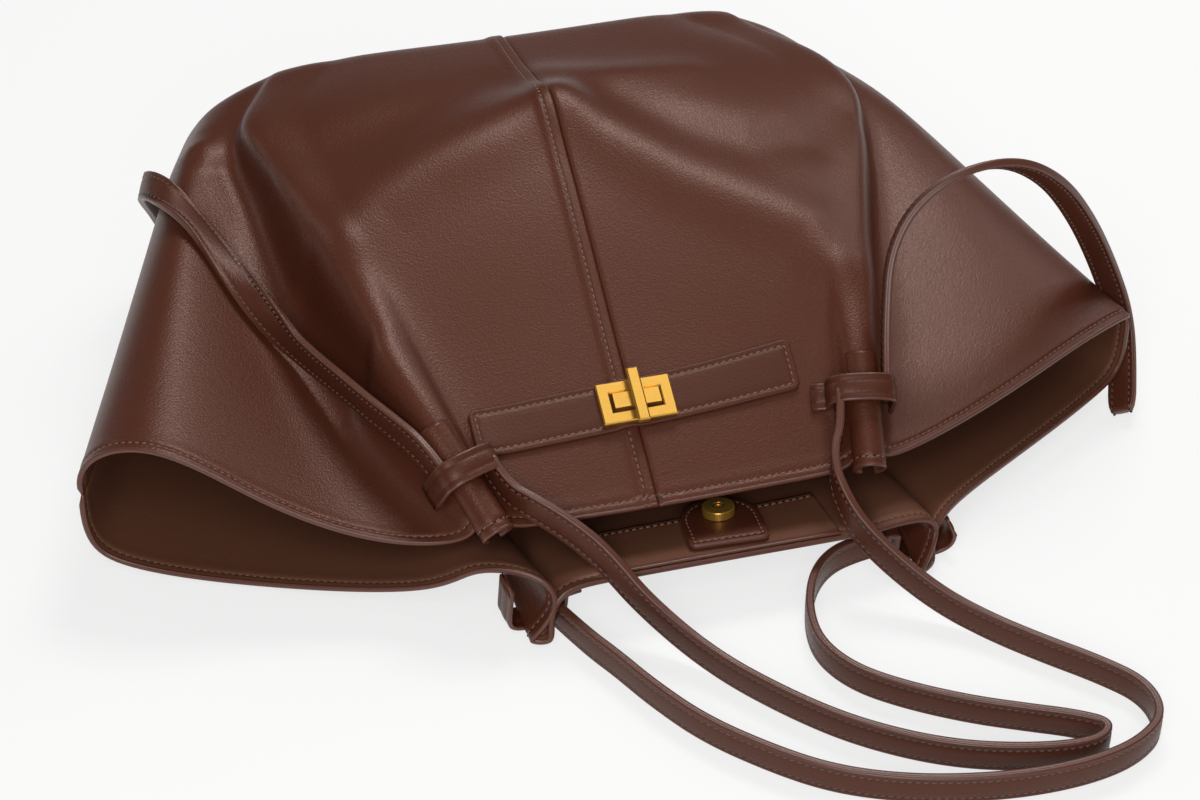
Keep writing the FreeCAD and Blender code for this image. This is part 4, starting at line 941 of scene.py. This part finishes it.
BAND_LENGTH, BAND_WIDTH, BAND_THICK, BAND_TILT = 150.0, 23.0, 2.2, 0.035
LOCK = frame["joints"][0]


def lock_place():
    """Place and outward direction of the lock, which sits on the band."""
    return np.array(LOCK["pos_m"]) / MM, np.array(LOCK["axis"], float)


def make_band(sizes):
    """Leather band across the front, on the slope under the lock."""
    tree = front_tree()
    spot, out = lock_place()
    middle = spot - out * (BAND_THICK + 2 * SEAM_GAP)

    def place(x, y, height):
        on, normal = dropped(tree, middle[0] + x, middle[1] + y * out[2] + BAND_TILT * x)
        flat = unit(0.7 * out + 0.3 * normal)
        return on + flat * (SEAM_GAP + height), flat

    add_plate(
        "front_band", BAND_LENGTH / 2, BAND_WIDTH / 2, (3, 3, 3, 3), (5, 44, 5, 44), BAND_THICK - 0.15,
        sizes.trim_margin / MM, place, sizes)


def node_points(node):
    """A CAD node's points, in millimetres."""
    return np.array([vertex.co for vertex in frame["nodes"][node].data.vertices]) / MM


def flat_place(node, x_hint):
    """Place function and size of a flat CAD plate, its own x as near a hint as can be."""
    points = node_points(node)
    middle = (points.max(axis=0) + points.min(axis=0)) / 2
    out = np.linalg.svd(points - points.mean(axis=0))[2][2]
    out = out if out @ UP > 0 or abs(out @ UP) < 0.2 and out[1] > 0 else -out
    y_axis = unit(np.cross(out, x_hint))
    x_axis = np.cross(y_axis, out)
    local = (points - middle) @ np.stack((x_axis, y_axis, out)).T
    low, high = local.min(axis=0), local.max(axis=0)
    centre = middle + np.stack((x_axis, y_axis, out)).T @ ((low + high) / 2 * (1, 1, 0) + low * (0, 0, 1))
    return lambda x, y, height: (centre + x_axis * x + y_axis * y + out * height, out), high - low


PATCH_TURN = math.radians(4)


def make_patch(sizes):
    """Snap patch inside the back: straight rim end, round inner end."""
    place, size = flat_place("snap_patch", (math.cos(PATCH_TURN), -math.sin(PATCH_TURN), 0))
    half_x, half_y = size[0] / 2, size[1] / 2
    add_plate(
        "snap_patch", half_x, half_y, (3, half_x, half_x, 3), (8, 1, 8, 10), size[2] - 0.2,
        sizes.trim_margin / MM, place, sizes)


def make_base(sizes):
    """Base panel, lapped over the base edge of the walls."""
    place, size = flat_place("base_panel", (-1, 0, 0))
    half_x, half_y = size[0] / 2, size[1] / 2
    upper, lower = 1.5 * BASE_ROUND, 0.9 * BASE_ROUND
    add_plate(
        "base_panel", half_x, half_y, (lower, upper, upper, lower), (4, 40, 4, 40), size[2] - 0.2,
        sizes.rim_margin / MM, place, sizes, ("leather", "edge"))


FACING_DEPTH, FACING_THICK, FACING_EDGE, FACING_STITCH = 36.0, 1.4, 1.0, 3.0
# Ends of the facings across the mouth
FRONT_FACING, BACK_FACING = (-53.0, 66.0), (-31.0, 74.0)


def back_rim_share(x):
    """Where the back rim passes a place across the mouth, nearest to its middle."""
    shares = np.linspace(0, 1, 401)
    rim = weights(len(BACK_NET[0]), shares) @ np.array(BACK_NET[-1])
    return shares[np.argmin(abs(rim[:, 0] - x) + abs(shares - 0.5))]


def make_facings(sizes):
    """The sewn strips inside the mouth."""
    wall = sizes.leather / MM + SEAM_GAP + FACING_THICK
    steps = np.linspace(FACING_EDGE, FACING_DEPTH, 24)
    across = np.linspace(*(back_rim_share(x) for x in BACK_FACING), 60)
    grid = panel_grid(BACK_NET, across, np.concatenate(([0.0], steps)), 0)[1:]
    normals = grid_normals(grid, UP)
    strips = [("back_facing", grid + normals * wall, normals)]
    tree = front_tree()
    slope = lock_place()[1][2]
    rim_y = BASE_Y - BAG_HEIGHT + 1
    columns = np.linspace(*FRONT_FACING, 50)
    spots = [[dropped(tree, x, rim_y + step * slope) for x in columns] for step in steps]
    grid = np.array([[spot for spot, normal in row] for row in spots])
    normals = -grid_normals(grid, UP)
    strips.append(("front_facing", grid + normals * wall, normals))
    from_stitch = steps - (FACING_DEPTH - FACING_STITCH)
    row = np.argmin(abs(from_stitch))
    for name, grid, normals in strips:
        relief = sunk(from_stitch, 0.9, 0.25)[:, None] * np.ones(grid.shape[1])
        # Facings in the inner leather, lightened with painted light
        add_shell(
            "leather_" + name, grid, normals, FACING_THICK, (relief, 0 * relief), [name],
            ("inside", "inside", "edge"), 1)
        sew("stitches_" + name, grid[row, 1:-1], normals[row, 1:-1], sizes)


# Keepers: width of the band, length of a sewn foot, way up a front fold, height and squareness of the arch
KEEPER_BAND, KEEPER_FOOT, KEEPER_CLIMB, KEEPER_ARCH, KEEPER_SQUARE = 12.5, 6.0, 6.0, 9.0, 0.77
# Each keeper: CAD node, its fold, side, outward direction, has a sewn foot
KEEPERS = (
    ("keeper_front_left", front_crest, -1, UP, False),
    ("keeper_front_right", front_crest, 1, UP, True),
    ("keeper_back_left", back_keel, -1, -UP, True),
    ("keeper_back_right", back_keel, 1, -UP, True),
)


def make_keeper(node, fold, side, out, footed, sizes):
    """Leather loop over a fold, from the CAD staple's own reach in the fold's directions."""
    axis = unit(fold(side, INNER_SHARE) - fold(side, 1))
    if np.cross(out, axis)[0] * -side < 0:
        axis = -axis
    across = unit(np.cross(out, axis))
    rise = np.cross(axis, across)
    origin = fold(side, 1)
    local = (node_points(node) - origin) @ np.stack((across, rise, axis)).T
    (left, _, near), (right, top, far) = local.min(axis=0), local.max(axis=0)
    thick = sizes.keeper_thick / MM
    half = thick / 2
    wall = right - KEEPER_FOOT if footed else right
    climb = KEEPER_CLIMB * np.sign((fold(side, INNER_SHARE) - fold(side, 1)) @ axis) * (out @ UP > 0)
    low_left = local[local[:, 0] < left + 0.1, 1].min()
    low_right = local[local[:, 0] > right - 0.1, 1].min()
    middle, reach = (left + wall) / 2, (wall - left) / 2 - half
    shoulder = top - half - KEEPER_ARCH
    turns = np.radians(np.linspace(180, 0, 25))
    arch = [
        (middle + reach * math.copysign(abs(math.cos(turn)) ** KEEPER_SQUARE, math.cos(turn)),
         shoulder + KEEPER_ARCH * abs(math.sin(turn)) ** KEEPER_SQUARE)
        for turn in turns
    ]
    line = [(left + half, low) for low in np.linspace(low_left, shoulder, 5)[:-1]] + arch
    if footed:
        line += [(wall - half, low) for low in np.linspace(shoulder, low_right + half, 5)[1:]]
        line += [(wall + 2, low_right + half), (right, low_right + half)]
    else:
        line += [(wall - half, low) for low in np.linspace(shoulder, low_right, 5)[1:]]
    flat = weights(len(line), np.linspace(0, 1, 70)) @ np.array(line)
    spots = origin + flat[:, :1] * across + flat[:, 1:] * rise + axis * ((near + far) / 2 + climb)
    wide = np.repeat(axis[None], len(spots), axis=0)
    face = np.cross(unit(np.gradient(spots, axis=0)), wide)
    section = ribbon_section(KEEPER_BAND, thick, KEEPER_BAND / 4)
    add_ribbon("leather_" + node, spots, wide, face, section, [node])


# Camera: turn and rise, angle of view, aim, and its distance and small shifts in metres
CAMERA_TURN, CAMERA_RISE = math.radians(-15), math.radians(38)
CAMERA_ANGLE = math.radians(24)
CAMERA_AIM = Vector((0, -0.086, 0.065))
CAMERA_BACK, CAMERA_ASIDE, CAMERA_OVER = 1.270, 0.01665, 0.0009


def place_camera():
    """Camera that sees the bag as the photograph does."""
    data = bpy.data.cameras.new("camera")
    data.sensor_width = 36
    data.lens = data.sensor_width / 2 / math.tan(CAMERA_ANGLE / 2)
    camera = bpy.data.objects.new("camera", data)
    bpy.context.collection.objects.link(camera)
    back = Vector((
        math.sin(CAMERA_TURN) * math.cos(CAMERA_RISE), -math.cos(CAMERA_TURN) * math.cos(CAMERA_RISE),
        math.sin(CAMERA_RISE)))
    right = Vector((math.cos(CAMERA_TURN), math.sin(CAMERA_TURN), 0))
    up = back.cross(right)
    spot = CAMERA_AIM + back * CAMERA_BACK - right * CAMERA_ASIDE - up * CAMERA_OVER
    camera.matrix_world = Matrix.Translation(spot) @ Matrix((right, up, back)).transposed().to_4x4()
    bpy.context.scene.camera = camera


FLOOR_GLOW = 0.72


def lay_floor():
    """A wide white floor that glows for the camera, so that only the shadow shows on it."""
    bpy.ops.object.select_all(action="DESELECT")
    bpy.ops.mesh.primitive_plane_add(size=12, location=(0, 0, -0.0004))
    floor = bpy.context.object
    floor.name = "floor"
    material, tree = new_material("white paper sweep")
    ray = add_node(tree, "ShaderNodeLightPath", {})
    seen = ray.outputs["Is Camera Ray"]
    for kind in ("Is Glossy Ray", "Is Transmission Ray"):
        either = add_node(tree, "ShaderNodeMath", {0: seen, 1: ray.outputs[kind]}, operation="MAXIMUM")
        seen = either.outputs[0]
    share = add_node(tree, "ShaderNodeMath", {0: seen, 1: FLOOR_GLOW}, operation="MULTIPLY")
    paper = add_node(tree, "ShaderNodeBsdfDiffuse", {"Color": linear("#f4f3f1")})
    glow = add_node(tree, "ShaderNodeEmission", {"Color": linear("#ffffff"), "Strength": 1.0})
    mixed = add_node(
        tree, "ShaderNodeMixShader",
        {0: share.outputs[0], 1: paper.outputs["BSDF"], 2: glow.outputs["Emission"]})
    add_node(tree, "ShaderNodeOutputMaterial", {"Surface": mixed.outputs["Shader"]})
    floor.data.materials.append(material)


# Softboxes: name, place, aim, width, height in metres, watts
SOFTBOXES = (
    ("front key softbox", (-0.55, -1.25, 1.45), (0.0, -0.05, 0.06), 0.8, 0.8, 10.5),
    ("back overhead softbox", (0.32, 0.52, 1.3), (0.0, 0.02, 0.1), 0.6, 0.4, 9.5),
    ("left back softbox", (-1.15, 0.75, 0.85), (-0.12, 0.03, 0.08), 0.5, 0.6, 1.5),
    ("right back softbox", (1.05, 0.55, 0.95), (0.18, 0.0, 0.05), 0.5, 0.6, 2.5),
    ("top softbox", (0.29, -0.18, 1.38), (0.0, -0.09, 0.07), 0.4, 0.4, 0.8),
    ("mouth fill softbox", (-0.3, -1.4, 0.75), (0.0, -0.05, 0.04), 0.8, 0.5, 8.0),
)


def hang_lights():
    """Softboxes in front, above and behind, and a dim even surround; the camera sees it white."""
    for name, place, aim, width, height, watts in SOFTBOXES:
        data = bpy.data.lights.new(name, "AREA")
        data.shape = "RECTANGLE"
        data.size, data.size_y, data.energy = width, height, watts
        lamp = bpy.data.objects.new(name, data)
        bpy.context.collection.objects.link(lamp)
        lamp.location = place
        lamp.rotation_mode = "QUATERNION"
        lamp.rotation_quaternion = (Vector(aim) - Vector(place)).to_track_quat("-Z", "Y")
    world = bpy.data.worlds.new("studio")
    bpy.context.scene.world = world
    world.use_nodes = True
    tree = world.node_tree
    tree.nodes.clear()
    ray = add_node(tree, "ShaderNodeLightPath", {})
    surround = add_node(tree, "ShaderNodeBackground", {"Color": linear("#d8d8da"), "Strength": 0.15})
    white = add_node(tree, "ShaderNodeBackground", {"Color": linear("#ffffff"), "Strength": 1.0})
    mixed = add_node(
        tree, "ShaderNodeMixShader",
        {0: ray.outputs["Is Camera Ray"], 1: surround.outputs["Background"],
         2: white.outputs["Background"]})
    add_node(tree, "ShaderNodeOutputWorld", {"Surface": mixed.outputs["Shader"]})
    bpy.context.scene.view_settings.view_transform = "Standard"


# Each strap: CAD node, route, lean, what the far end is, ends with rounded corners
STRAPS = (
    ("handle_strap_left", HANDLE_LEFT, ON_EDGE, "object", ()),
    ("handle_strap_right", HANDLE_RIGHT, ON_EDGE, "object", ()),
    ("strap_tail_left", TAIL_LEFT, LEFT_LEAN, "bare", (1,)),
    ("strap_tail_right", TAIL_RIGHT, None, "bare", (1,)),
)


def make_strap(name, route, lean, far_end, rounded, sizes):
    """One strap along its route, with a stitch line near both edges of both faces."""
    line = smooth_line(name + "_route", route)
    across, face = strap_frames(line, lean)
    width, thick, margin = (
        value / MM for value in (sizes.strap_width, sizes.strap_thick, sizes.trim_margin))
    section = ribbon_section(width, thick, margin)
    strap = add_ribbon("leather_" + name, line, across, face, section, [name], rounded)
    for up, layer in ((-1, "inner"), (1, "outer")):
        for beside, edge in ((-1, "lower"), (1, "upper")):
            sewn = line + across * (beside * (width / 2 - margin)) + face * (up * (thick / 2 - 0.2))
            label = "stitches_%s_%s_%s" % (name, layer, edge)
            # Darker thread on the straps; the holes are discs of painted shade
            sew(label, sewn, face * up, sizes, ("strap_thread", "hole"))


# Finishes of the CAD nodes that show as they are
NODE_FINISHES = {
    "lock_plate": "brass", "lock_block": "brass", "lock_turn_bar": "brass", "lock_spindle": "steel",
    "lock_hold_plate": "steel", "snap_socket": "brass", "snap_magnet": "magnet", "snap_eyelet": "brass",
    "snap_stud": "brass", "base_board": "board",
}


class BAG_OT_stage(bpy.types.Operator):
    """Camera at the photograph's angle, pale floor, soft studio lights"""

    bl_idname = "bag.stage"
    bl_label = "Stage"

    def execute(self, context):
        place_camera()
        lay_floor()
        hang_lights()
        return {"FINISHED"}


class BAG_OT_straps(bpy.types.Operator):
    """Two handle straps and two strap tails, sewn along both edges"""

    bl_idname = "bag.straps"
    bl_label = "Straps"

    def execute(self, context):
        sizes = context.scene.bag_sizes
        for strap in STRAPS:
            make_strap(*strap, sizes)
        return {"FINISHED"}


class BAG_OT_panels(bpy.types.Operator):
    """Front halves with their rolled folds, back and base, lofted over the lines plan"""

    bl_idname = "bag.panels"
    bl_label = "Panels"

    def execute(self, context):
        sizes = context.scene.bag_sizes
        for side in (-1, 1):
            make_front(side, sizes)
            make_tube(side, sizes)
        make_back(sizes)
        make_base(sizes)
        sew_panels(sizes)
        return {"FINISHED"}


class BAG_OT_trims(bpy.types.Operator):
    """Band, snap patch, facings and keepers"""

    bl_idname = "bag.trims"
    bl_label = "Trims"

    def execute(self, context):
        sizes = context.scene.bag_sizes
        make_band(sizes)
        make_patch(sizes)
        make_facings(sizes)
        for keeper in KEEPERS:
            make_keeper(*keeper, sizes)
        return {"FINISHED"}


class BAG_OT_hardware(bpy.types.Operator):
    """Finishes of the turn lock, the magnetic snap and the base board"""

    bl_idname = "bag.hardware"
    bl_label = "Hardware"

    def execute(self, context):
        for node, finish in NODE_FINISHES.items():
            mesh = frame["nodes"][node].data
            mesh.materials.clear()
            mesh.materials.append(finishes[finish])
        return {"FINISHED"}


class BAG_PT_pieces(bpy.types.Panel):
    """Pieces of the bag, in making order"""

    bl_idname = "BAG_PT_pieces"
    bl_label = "Trapeze Bag"
    bl_space_type = "VIEW_3D"
    bl_region_type = "UI"
    bl_category = "Bag"

    def draw(self, context):
        for maker in MAKERS:
            self.layout.operator(maker.bl_idname)
        for group in (context.scene.bag_sizes, context.scene.bag_colours):
            for name in group.bl_rna.properties.keys():
                if name not in ("rna_type", "name"):
                    self.layout.prop(group, name)


MAKERS = (BAG_OT_stage, BAG_OT_straps, BAG_OT_panels, BAG_OT_trims, BAG_OT_hardware)
CLASSES = (BagSizes, BagColours, *MAKERS, BAG_PT_pieces)


def register():
    for kind in CLASSES:
        bpy.utils.register_class(kind)
    bpy.types.Scene.bag_sizes = PointerProperty(type=BagSizes)
    bpy.types.Scene.bag_colours = PointerProperty(type=BagColours)


def unregister():
    del bpy.types.Scene.bag_colours
    del bpy.types.Scene.bag_sizes
    for kind in reversed(CLASSES):
        bpy.utils.unregister_class(kind)


def main():
    """Make the whole bag."""
    register()
    mix_finishes(bpy.context.scene.bag_colours)
    bpy.ops.bag.stage()
    bpy.ops.bag.straps()
    bpy.ops.bag.panels()
    bpy.ops.bag.trims()
    bpy.ops.bag.hardware()


if __name__ == "__main__":
    main()
